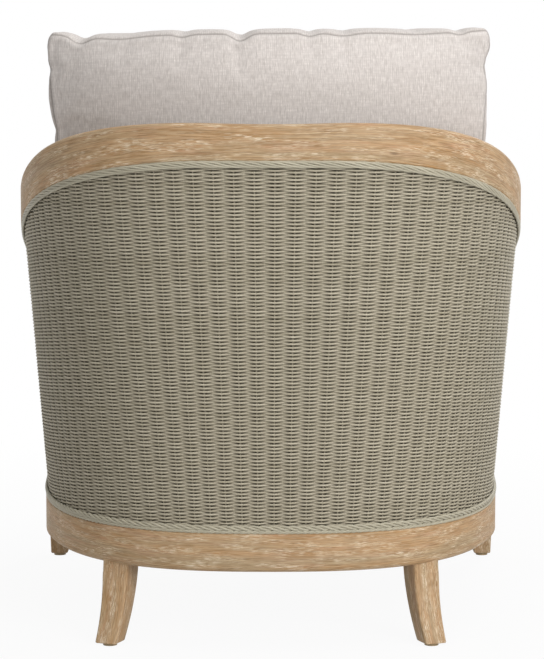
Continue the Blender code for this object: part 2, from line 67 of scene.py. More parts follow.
BASE_RAIL_TOP_ROUND = 0.004
ROUND_FADE_START = 0.42
ROUND_FADE_RUN = 0.22
FRONT_RAIL_ROUND = 0.006
FRONT_RAIL_STEP = 0.020
FRONT_RAIL_BOARD = 8.0
ARRIS = 0.0005
RAIL_JOINT = 0.5
HAIRLINE = 0.0003
RING_STEP = 0.005


def plan_line(half_width, curve_depth, flare, rear):
    """The wall's outer line in plan from the middle of the back to a front leg, in even steps."""
    turn = np.linspace(0, math.pi / 2, 721)
    straight = np.linspace(curve_depth, WALL_DEPTH - rear, 193)[1:]
    depth = np.append(curve_depth * (1 - np.cos(turn) ** (2 / CURVE_POWER)), straight)
    across = np.append(half_width * np.sin(turn) ** (2 / CURVE_POWER), np.full(len(straight), half_width))
    flared = np.clip((depth - FLARE_START) / (WALL_DEPTH - rear - FLARE_START), 0, None)
    across = across + flare * flared ** 2
    run = np.append(0, np.cumsum(np.hypot(np.diff(across), np.diff(depth))))
    heading = np.unwrap(np.arctan2(np.gradient(depth, run), np.gradient(across, run)))
    heading[0] = 0
    even = np.linspace(0, run[-1], 97)
    values = [np.interp(even, run, value) for value in (across, depth + rear, heading)]
    return [run[-1], even / run[-1], *values]


def on_line(line, u, inset):
    """x and depth at u, from -1 at the right front leg to 1 at the left one, moved inward by inset."""
    length, share, across, depth, heading = line
    u, inset = np.broadcast_arrays(np.asarray(u, float), np.asarray(inset, float))
    part = np.minimum(np.abs(u), 1)
    beyond = (np.abs(u) - part) * length
    turn = np.interp(part, share, heading)
    x = np.interp(part, share, across) - inset * np.sin(turn) + beyond * np.cos(turn)
    forward = np.interp(part, share, depth) + inset * np.cos(turn) + beyond * np.sin(turn)
    return np.where(u < 0, -x, x), forward


BASE_LINE = plan_line(BASE_HALF_WIDTH, BASE_CURVE_DEPTH, BASE_FLARE, 0)


def base_point(u, inset, z):
    x, depth = on_line(BASE_LINE, u, inset)
    return np.stack(np.broadcast_arrays(x, REAR_Y - depth, z), -1)


def rounded_section(width, height, rounds, shrink=0.0, steps=6):
    """Points round a rectangle with rounded corners, drawn in by shrink, as offsets across and up.

    The corners come in order from the outer lower one: inner lower, inner upper, outer upper.
    """
    turn = np.linspace(0, math.pi / 2, steps + 1)
    points = []
    for number, (inner, upper) in enumerate([(0, 0), (1, 0), (1, 1), (0, 1)]):
        radius = rounds[number]
        centre = np.array([radius + inner * (width - 2 * radius), radius + upper * (height - 2 * radius)])
        angle = turn + math.pi + number * math.pi / 2
        points.append(centre + (radius - shrink) * np.stack([np.cos(angle), np.sin(angle)], -1))
    return np.concatenate(points)


def end_rings(start, end, start_round, end_round, step):
    """Places along a bar and how far its section is drawn in there, with both ends rounded over."""
    turn = np.linspace(0, math.pi / 2, 6)
    head = start + start_round * (1 - np.cos(turn))
    tail = end - end_round * (1 - np.cos(turn[::-1]))
    middle = np.linspace(head[-1], tail[0], max(int((tail[0] - head[-1]) / step), 2) + 1)[1:-1]
    drawn = [start_round * (1 - np.sin(turn)), np.zeros(len(middle)), end_round * (1 - np.sin(turn[::-1]))]
    return np.concatenate([head, middle, tail]), np.concatenate(drawn)


def skinned(name, rings):
    """A mesh over rings of points, each ring closed, with flat ends."""
    count, around = rings.shape[:2]
    index = np.arange(count * around).reshape(count, around)
    turned = np.roll(index, -1, 1)
    quads = np.stack([index[:-1], turned[:-1], turned[1:], index[1:]], -1).reshape(-1, 4)
    flat = rings.reshape(-1, 3)
    mesh = bpy.data.meshes.new(name)
    mesh.from_pydata(flat, [], quads.tolist() + [index[0, ::-1].tolist(), index[-1].tolist()])
    one, two, three = (flat[quads[:, corner]] for corner in range(3))
    volume = np.einsum("ij,ij->", one - flat.mean(0), np.cross(two - one, three - one))
    if volume < 0:
        mesh.flip_normals()
    return mesh


def add_piece(name, mesh, look, body="frame", instead=()):
    """Puts a mesh in the scene on a body, with its finish, in place of CAD nodes."""
    piece = bpy.data.objects.new(name, mesh)
    bpy.context.scene.collection.objects.link(piece)
    mesh.materials.append(look)
    mesh.shade_smooth()
    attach(piece, body)
    if instead:
        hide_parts(*instead)
    return piece


def mark(mesh, name, values, domain="POINT"):
    """Stores a value or a vector for every point or corner of a mesh, for its finish to read."""
    values = np.asarray(values, np.float32)
    kind, field = ("FLOAT", "value") if values.ndim == 1 else ("FLOAT_VECTOR", "vector")
    mesh.attributes.new(name, kind, domain).data.foreach_set(field, values.ravel())


def linear(colour):
    """A hex colour as linear red, green, blue and alpha."""
    shares = [int(colour[i:i + 2], 16) / 255 for i in (1, 3, 5)]
    return [s / 12.92 if s <= 0.04045 else ((s + 0.055) / 1.055) ** 2.4 for s in shares] + [1]


def add_node(tree, kind, inputs=(), **settings):
    """One shader node with its settings, its inputs set to values or linked to sockets."""
    made = tree.nodes.new("ShaderNode" + kind)
    for key, value in settings.items():
        setattr(made, key, value)
    for key, value in dict(inputs).items():
        if isinstance(value, bpy.types.NodeSocket):
            tree.links.new(value, made.inputs[key])
        else:
            made.inputs[key].default_value = value
    return made


def new_finish(name):
    """A new material, with its node tree and its shader."""
    look = bpy.data.materials.new(name)
    look.use_nodes = True
    return look, look.node_tree, look.node_tree.nodes["Principled BSDF"]


# Layers of the timber's grain: the length and width of a patch of noise along and across the board, its
# detail and shift, the noise levels between which the layer comes in, and its share at those two levels.
# Pores are 0.2 mm wide on the real board; they are drawn 0.5 mm wide so that they show.
TIMBER_GRAIN = {
    "honey": (0.190, 0.0120, 2.0, 0.0, 0.38, 0.70, 0.0, 1.0),
    "olive": (0.240, 0.0150, 2.0, 7.3, 0.44, 0.70, 0.0, 0.7),
    "rosy": (0.120, 0.0100, 2.0, 3.1, 0.52, 0.74, 0.0, 0.45),
    "umber": (0.080, 0.0075, 3.0, 5.9, 0.52, 0.72, 0.0, 0.5),
    "dark_grain": (0.026, 0.0008, 1.0, 0.0, 0.48, 0.60, 0.0, 0.62),
    "pale_grain": (0.042, 0.0007, 1.0, 9.4, 0.50, 0.60, 0.0, 0.36),
    "patches": (0.060, 0.0090, 2.0, 1.7, 0.44, 0.66, 0.12, 1.0),
    "pores": (0.0130, 0.0005, 1.0, 4.9, 0.52, 0.60, 0.0, 0.9),
}
TIMBER_FACE = "#B7926A"
TIMBER_TINTS = {"honey": "#AC8456", "olive": "#A29072", "rosy": "#B9896D", "umber": "#987450",
                "dark_grain": "#80643F", "pale_grain": "#D3BA96", "fleck": "#EBDCC3", "knot": "#5A4229"}
# Knots to the metre: they come about 180 mm apart along the board and 45 mm across it
KNOT_SPREAD = (5.5, 22, 22)


def limed_timber(name, along=None):
    """Open-grained oak-like timber, planed, limed and sealed matt.

    The eye sees a warm tan face with broad honey and grey-olive bands, fine darker grain, and short cream
    flecks where the paste stayed in the pores. A bent piece carries its straightened board as "grain";
    a straight hidden one turns its own axis into the board's length.
    """
    look, tree, shader = new_finish(name)
    if along is None:
        board = add_node(tree, "Attribute", attribute_name="grain").outputs["Vector"]
    else:
        place = add_node(tree, "TexCoord").outputs["Object"]
        turn = {"X": (0, 0, 0), "Y": (0, 0, -math.pi / 2), "Z": (0, math.pi / 2, 0)}[along]
        board = add_node(tree, "Mapping", {"Vector": place, "Rotation": turn}).outputs["Vector"]
    shares = {}
    for layer, (length, width, detail, shift, *levels) in TIMBER_GRAIN.items():
        scale = (1 / length, 1 / width, 1 / width)
        fitted = add_node(tree, "Mapping", {"Vector": board, "Scale": scale, "Location": (shift,) * 3})
        noise = add_node(tree, "TexNoise", {"Vector": fitted.outputs[0], "Scale": 1.0, "Detail": detail,
                                            "Roughness": 0.55})
        ranged = add_node(tree, "MapRange", {0: noise.outputs[0], **dict(enumerate(levels, 1))})
        shares[layer] = ranged.outputs[0]
    fleck = add_node(tree, "Math", {0: shares["pores"], 1: shares["patches"]}, operation="MULTIPLY")
    shares["fleck"] = fleck.outputs[0]
    fitted = add_node(tree, "Mapping", {"Vector": board, "Scale": KNOT_SPREAD}).outputs[0]
    distance = add_node(tree, "TexVoronoi", {"Vector": fitted, "Scale": 1.0}).outputs["Distance"]
    shares["knot"] = add_node(tree, "MapRange", {0: distance, 1: 0.020, 2: 0.050, 3: 0.60, 4: 0.0}).outputs[0]
    colour = linear(TIMBER_FACE)
    for layer, tint in TIMBER_TINTS.items():
        mixed = add_node(tree, "Mix", {0: shares[layer], 6: colour, 7: linear(tint)}, data_type="RGBA")
        colour = mixed.outputs[2]
    tree.links.new(colour, shader.inputs["Base Color"])
    dull = add_node(tree, "MapRange", {0: shares["fleck"], 1: 0.0, 2: 1.0, 3: 0.55, 4: 0.70}).outputs[0]
    tree.links.new(dull, shader.inputs["Roughness"])
    relief = add_node(tree, "Bump", {"Height": shares["dark_grain"], "Strength": 0.25, "Distance": 0.0006},
                      invert=True)
    tree.links.new(relief.outputs[0], shader.inputs["Normal"])
    shader.inputs["Specular IOR Level"].default_value = 0.30
    return look


RAIL_TIMBER = limed_timber("limed_timber")
# How far apart in the grain two boards are taken, along, across and through
BOARD_STEP = np.array([1.0, 0.37, 0.61])


def lofted_bar(name, point, ends, height, edges, eased, board, line_length, instead):
    """A bent rail: its rounded section carried along point(u, inset, lift), with grain along its run.

    eased holds the rounds of its two ends, and board is the number of the board that it is cut from.
    """
    low, high = sorted(ends)
    first, last = eased if ends[0] <= ends[1] else eased[::-1]
    run, drawn = end_rings(low * line_length, high * line_length, first, last, RING_STEP)
    rings = []
    for place, shrink in zip(run / line_length, drawn):
        section = rounded_section(RAIL_WIDTH, height(place), edges(place), shrink)
        rings.append(point(np.full(len(section), place), section[:, 0], section[:, 1]))
    mesh = skinned(name, np.array(rings))
    flat = rounded_section(RAIL_WIDTH, height(0), edges(0))
    grain = np.empty((len(run), len(flat), 3))
    grain[..., 0] = run[:, None]
    grain[..., 1:] = flat
    mark(mesh, "grain", (grain + board * BOARD_STEP).reshape(-1, 3))
    add_piece(name, mesh, RAIL_TIMBER, instead=instead)


def base_lift(u, inset, lift):
    return base_point(u, inset, BASE_RAIL_BOTTOM + lift)


def base_height(u):
    return BASE_RAIL_TOP - BASE_RAIL_BOTTOM


def gentle(share):
    """A share from 0 to 1, slow to start and slow to end."""
    return share * share * (3 - 2 * share)


def base_edges(u):
    """Rounds of the four edges: the full lower one of the back dies out towards the front legs."""
    fade = gentle(np.clip((abs(u) - ROUND_FADE_START) / ROUND_FADE_RUN, 0, 1))
    lower = BASE_RAIL_ROUND + (BASE_RAIL_END_ROUND - BASE_RAIL_ROUND) * fade
    return lower, BASE_RAIL_INNER_ROUND, BASE_RAIL_INNER_ROUND, BASE_RAIL_TOP_ROUND


SIDES = {"left": 1, "right": -1}
gap = HAIRLINE / BASE_LINE[0] / 2
lofted_bar("base_rail_hoop", base_lift, (gap - RAIL_JOINT, RAIL_JOINT - gap), base_height, base_edges,
           (ARRIS, ARRIS), board=2.0, line_length=BASE_LINE[0], instead=["base_rail_back"])
for side, sign in SIDES.items():
    lofted_bar("base_rail_side_" + side, base_lift, (sign * (RAIL_JOINT + gap), sign), base_height,
               base_edges, (ARRIS, ARRIS), board=4.0 + sign, line_length=BASE_LINE[0],
               instead=["base_rail_" + side])
    nodes["base_rail_dowel_" + side].data.materials[0] = RAIL_TIMBER

low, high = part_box("base_rail_front")
across, drawn = end_rings(low.x, high.x, ARRIS, ARRIS, FRONT_RAIL_STEP)
front_rings = []
for x, shrink in zip(across, drawn):
    section = rounded_section(high.y - low.y, high.z - low.z, (FRONT_RAIL_ROUND,) * 4, shrink)
    front_rings.append(np.stack([np.full(len(section), x), low.y + section[:, 0], low.z + section[:, 1]], -1))
front_mesh = skinned("base_rail_front_bar", np.array(front_rings))
mark(front_mesh, "grain", np.array(front_rings).reshape(-1, 3) + FRONT_RAIL_BOARD)
add_piece("base_rail_front_bar", front_mesh, RAIL_TIMBER, instead=["base_rail_front"])


# Legs: square sabre legs turned outward at the back, hung from the hoop by hanger bolts, and front legs
# that taper below the rail and stand up inside the weave to carry the arms. Limed timber, rounded edges,
# grain up the leg, with a nailed nylon glide under each foot.
GLIDE_TOP = 0.0043
REAR_LEG_PLACE = 6.5 / 24
REAR_LEG_TURN = math.radians(22)
REAR_LEG_SWEEP = 0.036
REAR_LEG_TOP = 0.0405
REAR_LEG_FOOT = 0.0325
REAR_LEG_LET_IN = 0.005
REAR_LEG_SETBACK = 0.0025
REAR_LEG_TRIM = 0.018
LEG_ROUND = 0.0036
FOOT_ROUND = 0.0020
POST_DEPTH = 0.045
POST_STEP = 0.008
FOOT_WIDTH = 0.028
FOOT_TOE_IN = 0.004
BRAID_HEIGHT = 0.0125
WEAVE_INSET = 0.0055
TOP_HALF_WIDTH = 0.374
TOP_CURVE_DEPTH = 0.467
TOP_FLARE = 0.027
RECLINE = 0.070
TOP_LINE = plan_line(TOP_HALF_WIDTH, TOP_CURVE_DEPTH, TOP_FLARE, -RECLINE)
TOP_RAIL_UNDERSIDE = 0.683
TOP_RAIL_DROP = 0.1595
DROP_RUN = (0.083, 0.941)


def rail_underside(u):
    """Height of the top rail's lower face, which falls from the back towards the arms."""
    share = np.clip((np.abs(u) * TOP_LINE[0] - DROP_RUN[0]) / (DROP_RUN[1] - DROP_RUN[0]), 0, 1)
    return TOP_RAIL_UNDERSIDE - TOP_RAIL_DROP * (0.5 - 0.5 * np.cos(math.pi * share))


def top_point(u, inset, lift):
    """A point of the top rail, with lift measured up from its lower face."""
    x, depth = on_line(TOP_LINE, u, inset)
    return np.stack(np.broadcast_arrays(x, REAR_Y - depth, rail_underside(u) + lift), -1)


def leg(name, rings, board, instead):
    """A leg over rings of points from the foot up, its foot eased, with grain up its length."""
    rings = np.array(rings)
    mesh = skinned(name, rings)
    middle = rings.mean(1, keepdims=True)
    grain = np.concatenate([np.broadcast_to(middle[..., 2:], (*rings.shape[:2], 1)),
                            (rings - middle)[..., :2]], -1)
    mark(mesh, "grain", grain.reshape(-1, 3) + board)
    add_piece(name, mesh, RAIL_TIMBER, instead=[instead])


GLIDE_NYLON, tree, shader = new_finish("moulded_nylon")
# Injection-moulded nylon: a tan near the timber's, with a soft sheen broken by a fine spark-eroded texture,
# which is drawn 0.7 mm coarse so that it shows
place = add_node(tree, "TexCoord").outputs["Object"]
speck = add_node(tree, "TexNoise", {"Vector": place, "Scale": 1400.0, "Detail": 2.0}).outputs[0]
shade = add_node(tree, "Mix", {0: speck, 6: linear("#97835F"), 7: linear("#AE9770")}, data_type="RGBA")
tree.links.new(shade.outputs[2], shader.inputs["Base Color"])
shader.inputs["Roughness"].default_value = 0.48
pits = add_node(tree, "Bump", {"Height": speck, "Strength": 0.3, "Distance": 0.0002})
tree.links.new(pits.outputs[0], shader.inputs["Normal"])

BOLT_STEEL, tree, shader = new_finish("zinc_plated_steel")
# Zinc-plated mild steel: a bright grey metal with bluish passivation in clouds about 4 mm wide
place = add_node(tree, "TexCoord").outputs["Object"]
cloud = add_node(tree, "TexNoise", {"Vector": place, "Scale": 260.0, "Detail": 3.0}).outputs[0]
shade = add_node(tree, "Mix", {0: cloud, 6: linear("#A9AEB4"), 7: linear("#C9C6BE")}, data_type="RGBA")
tree.links.new(shade.outputs[2], shader.inputs["Base Color"])
shader.inputs["Metallic"].default_value = 1.0
shader.inputs["Roughness"].default_value = 0.38


def rear_leg_rings(sign):
    """The sabre leg's section up its sweep; its head is let into the rail's round and trimmed to its face."""
    top = base_point(sign * REAR_LEG_PLACE, RAIL_WIDTH / 2, 0.0)
    face = base_point(sign * REAR_LEG_PLACE, 0.0, 0.0)
    facing = (face - top) / np.linalg.norm(face - top)
    outward = np.array([sign * math.sin(REAR_LEG_TURN), math.cos(REAR_LEG_TURN), 0])
    sideways = np.array([outward[1], -outward[0], 0])
    rings = []
    head = BASE_RAIL_BOTTOM + REAR_LEG_LET_IN
    for z, shrink in zip(*end_rings(GLIDE_TOP, head, FOOT_ROUND, ARRIS, RING_STEP)):
        share = (z - GLIDE_TOP) / (BASE_RAIL_BOTTOM - HAIRLINE - GLIDE_TOP)
        width = REAR_LEG_FOOT + (REAR_LEG_TOP - REAR_LEG_FOOT) * share
        section = rounded_section(width, width, (LEG_ROUND,) * 4, shrink) - width / 2
        middle = top + outward * REAR_LEG_SWEEP * (1 - share) ** 2
        ring = middle + section[:, :1] * sideways + section[:, 1:] * outward + [0, 0, z]
        proud = (ring - face) @ (facing * [1, 1, 0]) + REAR_LEG_SETBACK
        trim = np.clip((z - BASE_RAIL_BOTTOM + REAR_LEG_TRIM) / REAR_LEG_TRIM, 0, 1)
        rings.append(ring - np.maximum(proud, 0)[:, None] * trim * facing)
    return rings


def front_leg_rings(sign):
    """The front leg's section: tapered below the rail, full beside it, flush with the weave up to the arm."""
    start = 1 + HAIRLINE / BASE_LINE[0]
    base_end, top_end = start + POST_DEPTH / BASE_LINE[0], start + POST_DEPTH / TOP_LINE[0]
    foot_rear = WALL_DEPTH + (POST_DEPTH - FOOT_WIDTH) / 2
    foot_outer = base_point(1 + (foot_rear - WALL_DEPTH) / BASE_LINE[0], 0.0, 0.0)[0] - FOOT_TOE_IN

    def unit(width, shrink=0.0):
        return rounded_section(1, 1, (LEG_ROUND / width,) * 4, shrink / width).T

    def post(outer, end, rail, level):
        inward, forward = unit(POST_DEPTH)
        return rail(sign * (start + (end - start) * forward), outer + (RAIL_WIDTH - outer) * inward, level)

    rings = []
    shoulder = post(0.0, base_end, base_point, BASE_RAIL_BOTTOM)
    for z, shrink in zip(*end_rings(GLIDE_TOP, BASE_RAIL_BOTTOM, FOOT_ROUND, 0.0, POST_STEP)):
        share = (z - GLIDE_TOP) / (BASE_RAIL_BOTTOM - GLIDE_TOP)
        inward, forward = unit(FOOT_WIDTH, shrink)
        foot = np.stack([sign * (foot_outer - FOOT_WIDTH * inward), REAR_Y - foot_rear - FOOT_WIDTH * forward,
                         np.full(len(inward), z)], -1)
        ring = foot + (shoulder - foot) * share
        ring[:, 2] = z
        rings.append(ring)
    rings += [post(0.0, base_end, base_point, z) for z in np.linspace(BASE_RAIL_BOTTOM, BASE_RAIL_TOP, 8)[1:]]
    low = post(WEAVE_INSET, base_end, base_point, BASE_RAIL_TOP)
    head = post(WEAVE_INSET, top_end, top_point, -HAIRLINE)
    braid_share = BRAID_HEIGHT / (TOP_RAIL_UNDERSIDE - TOP_RAIL_DROP - BASE_RAIL_TOP)
    return rings + [low + (head - low) * share for share in np.linspace(braid_share, 1, 30)]


for side, sign in SIDES.items():
    leg("rear_sabre_leg_" + side, rear_leg_rings(sign), board=11.0 + sign * 1.7, instead="rear_leg_" + side)
    leg("front_post_leg_" + side, front_leg_rings(sign), board=17.0 + sign * 2.3, instead="front_leg_" + side)
    nodes["rear_leg_bolt_" + side].data.materials[0] = BOLT_STEEL
    nodes["glide_front_" + side].data.materials[0] = GLIDE_NYLON
    nodes["glide_rear_" + side].data.materials[0] = GLIDE_NYLON


# Hidden frame: sawn slats between the two rails, a bent ledger and a front rail that carry the seat, and
# glue blocks in the front corners. The same limed timber, square-edged, screwed and glued.
SLAT_TIMBER = limed_timber("limed_timber_slats", "Z")
LEDGER_TIMBER = limed_timber("limed_timber_ledger", "X")
SIDE_LEDGER_TIMBER = limed_timber("limed_timber_side_ledger", "Y")
for side in SIDES:
    for place_name in ("back", "corner", "side"):
        nodes["upright_" + place_name + "_" + side].data.materials[0] = SLAT_TIMBER
    nodes["corner_block_" + side].data.materials[0] = SLAT_TIMBER
    nodes["seat_ledger_" + side].data.materials[0] = SIDE_LEDGER_TIMBER
nodes["seat_ledger_back"].data.materials[0] = LEDGER_TIMBER
nodes["seat_rail_front"].data.materials[0] = LEDGER_TIMBER


# Top rail: the bent back and the two arms that it runs down into, butted and dowelled at the shoulders.
# Limed timber with a router round on every edge; the section deepens towards the arms, whose front ends
# overhang the legs and are rounded off.
TOP_RAIL_HEIGHT = 0.0490
ARM_RAIL_HEIGHT = 0.0610
ARM_HEIGHT_REACH = 0.420
ARM_OVERHANG = 0.0573
ARM_REACH = 1 + ARM_OVERHANG / TOP_LINE[0]
ARM_END_ROUND = 0.0035
# Rounds of the outer lower edge, the inner lower one and the two upper ones
TOP_RAIL_ROUNDS = (0.0038, 0.006, 0.0085, 0.0085)


def rail_height(u):
    share = gentle(np.clip(np.abs(u) * TOP_LINE[0] / ARM_HEIGHT_REACH, 0, 1))
    return TOP_RAIL_HEIGHT + (ARM_RAIL_HEIGHT - TOP_RAIL_HEIGHT) * share


def top_edges(u):
    return TOP_RAIL_ROUNDS


gap = HAIRLINE / TOP_LINE[0] / 2
lofted_bar("top_rail_bow", top_point, (gap - RAIL_JOINT, RAIL_JOINT - gap), rail_height, top_edges,
           (ARRIS, ARRIS), board=23.0, line_length=TOP_LINE[0], instead=["top_rail_back"])
for side, sign in SIDES.items():
    lofted_bar("arm_" + side, top_point, (sign * (RAIL_JOINT + gap), sign * ARM_REACH), rail_height,
               top_edges, (ARRIS, ARM_END_ROUND), board=31.0 + 3 * sign, line_length=TOP_LINE[0],
               instead=["arm_rail_" + side])
    nodes["top_rail_dowel_" + side].data.materials[0] = RAIL_TIMBER


# Woven sheets: round resin strands woven over one stake and under the next, in level rows from the base
# rail up to the sloping top rail; one sheet outside the slats, one inside and a panel across the front.
# Extruded polyethylene in a weathered grey-beige, the tone of each strand a little different.
STAKES = 35
STAKE_SHIFT = -0.2
STAKE_SPREAD = (0.851, 0.99)
# Outline of a stake in millimetres, across and out of the wall, and the painted shade at each point: dark on
# its sides and back, none on its middle rib
STAKE_SECTION = [(-3.2, -0.7), (-0.9, -0.3), (0.0, 1.3), (0.9, -0.3), (3.2, -0.7), (0.0, -1.4)]
STAKE_PAINTED_SHADE = [0.95, 0.8, 0.0, 0.8, 0.95, 1.0]
# The stakes' pale tone is a painted highlight, so that their middle rib shows light
STAKE_HIGHLIGHT_TONE = 0.9
STAKE_RINGS = 40
STAKE_ROOT = 0.002
HALF_WALL_RUN = 0.95
ROW_PITCH = 0.00248
FIRST_ROW = 0.0015
STRAND_HEIGHT = 0.0032
STRAND_THICKNESS = 0.0022
STRAND_WAVE = 0.0019
STRAND_SQUARENESS = 0.85
STRAND_SAG = 0.0006
# A strand is drawn taller where it runs under a stake, so that no light shows between the rows there
UNDER_GROWTH = 0.8
UNDER_POWER = 0.6
# Hand-woven rows wander: where their drift may change, and what it does to wave, level and tone
DRIFT_STAKES = np.arange(-40, 42, 4)
DRIFT_WAVE = 0.08
DRIFT_LEVEL = 0.00008
DRIFT_TONE = 0.10
TONE_SPREAD = 0.17
# Painted shade on the strands: how far out of the sheet's middle it starts, and over what depth further in it
# grows to full
PAINTED_SHADE_START = 0.0009
PAINTED_SHADE_RUN = 0.0019
WEAVE_THICKNESS = 0.003
INNER_FACE = 0.040
SEAT_LEDGER_TOP = 0.268
# How far apart along the draw lines and beside them two strands are taken, and the radius they lie on
STRAND_STEP = (1.37, 0.1)
STRAND_ROUND = 0.001
# Each strand's strip of the bake: its margin to the next, its margin at the ends, and its two end faces
STRIP_MARGIN = 0.08
STRIP_END = 0.002
STRIP_CAP = (0.0005, 0.0015)


def extruded_resin(name, line_repeat, tints, roughness, specular):
    """Extruded polyethylene strand, coloured in the mass.

    The eye sees a matt grey-beige with fine draw lines along the strand; painted shade darkens it further in
    the weave. The tints are those of a dull strand, a pale one, a draw line and the painted shade.
    """
    look, tree, shader = new_finish(name)
    strand = add_node(tree, "Attribute", attribute_name="strand").outputs["Vector"]
    # Draw lines are 0.1 mm apart on the real strand; they are drawn 0.4 mm apart so that they show
    fitted = add_node(tree, "Mapping", {"Vector": strand, "Scale": (line_repeat, 2500, 2500)}).outputs[0]
    drawn_lines = add_node(tree, "TexNoise", {"Vector": fitted, "Scale": 1.0, "Detail": 2.0}).outputs[0]
    streak = add_node(tree, "MapRange", {0: drawn_lines, 1: 0.35, 2: 0.75, 3: 0.0, 4: 0.35}).outputs[0]
    tone = add_node(tree, "Attribute", attribute_name="tone").outputs["Fac"]
    painted_shade = add_node(tree, "Attribute", attribute_name="painted_shade").outputs["Fac"]
    colour = linear(tints[0])
    for share, tint in zip((tone, streak, painted_shade), tints[1:]):
        mixed = add_node(tree, "Mix", {0: share, 6: colour, 7: linear(tint)}, data_type="RGBA")
        colour = mixed.outputs[2]
    tree.links.new(colour, shader.inputs["Base Color"])
    shader.inputs["Roughness"].default_value = roughness
    shader.inputs["Specular IOR Level"].default_value = specular
    ridges = add_node(tree, "Bump", {"Height": drawn_lines, "Strength": 0.3, "Distance": 0.0002})
    tree.links.new(ridges.outputs[0], shader.inputs["Normal"])
    return look


# The woven strand: dull, with draw lines about 30 mm long; its last tint is the painted shade further in the
# weave
WICKER = extruded_resin("resin_wicker", 33, ("#B1A892", "#CBC2AD", "#8D8571", "#2B2318"), 0.55, 0.22)


def wall_point(u, inset, z):
    """A point of the leaning wall at height z: straight lines join the base rail to the top rail."""
    share = (z - BASE_RAIL_TOP) / (rail_underside(u) - BASE_RAIL_TOP)
    low, high = base_point(u, inset, 0.0), top_point(u, inset, 0.0)
    plan = low + (high - low) * np.asarray(share)[..., None]
    plan[..., 2] = z
    return plan


def stake_place(stake, z):
    """Where a stake stands round the wall at height z: stakes lean apart towards the top of the back."""
    t = (stake + STAKE_SHIFT) / STAKES
    u = t
    for _ in range(3):
        share = np.clip((z - BASE_RAIL_TOP) / (rail_underside(u) - BASE_RAIL_TOP), 0, 1)
        spread = STAKE_SPREAD[0] + (STAKE_SPREAD[1] - STAKE_SPREAD[0]) * share
        u = spread * t + (1 - spread) * t ** 3
    return u


def strands_mesh(name, tubes):
    """One mesh of closed tubes, each with its points, tone and painted shade, and a strip of its own for
    baking.
    """
    points, faces, tones, painted_shades, runs, corners = [], [], [], [], [], []
    first = 0
    for number, (rings, tone, painted_shade) in enumerate(tubes):
        count, around = rings.shape[:2]
        index = first + np.arange(count * around).reshape(count, around)
        turned = np.roll(index, -1, 1)
        faces.append(np.stack([index[:-1], turned[:-1], turned[1:], index[1:]], -1).reshape(-1, 4))
        ends = np.stack([index[0, ::-1], index[-1]])
        if around > 4:
            fans = [np.stack([np.full(around - 2, e[0]), e[1:-1], e[2:], e[2:]], -1) for e in ends]
            ends = np.concatenate(fans)
        faces.append(ends)
        points.append(rings.reshape(-1, 3))
        tones.append(np.repeat(np.broadcast_to(tone, count), around))
        painted_shades.append(painted_shade.ravel())
        middle = rings.mean(1)
        run = np.append(0, np.cumsum(np.linalg.norm(np.diff(middle, axis=0), axis=1)))
        turn = 2 * math.pi * (np.arange(around) / around)
        run_marks = np.empty((count, around, 3))
        run_marks[..., 0] = run[:, None] + number * STRAND_STEP[0]
        run_marks[..., 1] = np.cos(turn) * STRAND_ROUND + number * STRAND_STEP[1]
        run_marks[..., 2] = np.sin(turn) * STRAND_ROUND
        runs.append(run_marks.reshape(-1, 3))
        low = (number + STRIP_MARGIN) / len(tubes)
        step = (1 - 2 * STRIP_MARGIN) / len(tubes) / around
        along = STRIP_END + (1 - 2 * STRIP_END) * run / run[-1]
        v = low + step * np.arange(around)
        quad = np.empty((count - 1, around, 4, 2))
        quad[..., 0, 0] = quad[..., 1, 0] = along[:-1, None]
        quad[..., 2, 0] = quad[..., 3, 0] = along[1:, None]
        quad[..., 0, 1] = quad[..., 3, 1] = v
        quad[..., 1, 1] = quad[..., 2, 1] = v + step
        corners.append(quad.reshape(-1, 2))
        near, far = STRIP_CAP
        cap = [[near, low], [far, low], [far, low + step], [near, low + step]]
        corners.append(np.tile(cap, (len(ends), 1)))
        first += count * around
    mesh = bpy.data.meshes.new(name)
    flat = np.concatenate(points)
    quads = np.concatenate(faces)
    mesh.from_pydata(flat, [], [q if q[2] != q[3] else q[:3] for q in quads.tolist()])
    mark(mesh, "tone", np.concatenate(tones))
    mark(mesh, "painted_shade", np.concatenate(painted_shades))
    mark(mesh, "strand", np.concatenate(runs))
    uv = np.concatenate(corners).reshape(-1, 4, 2)
    short = quads[:, 2] == quads[:, 3]
    keep = np.ones((len(quads), 4), bool)
    keep[short, 3] = False
    mesh.uv_layers.new(name="OFBake").data.foreach_set("uv", uv[keep].astype(np.float32).ravel())
    return mesh


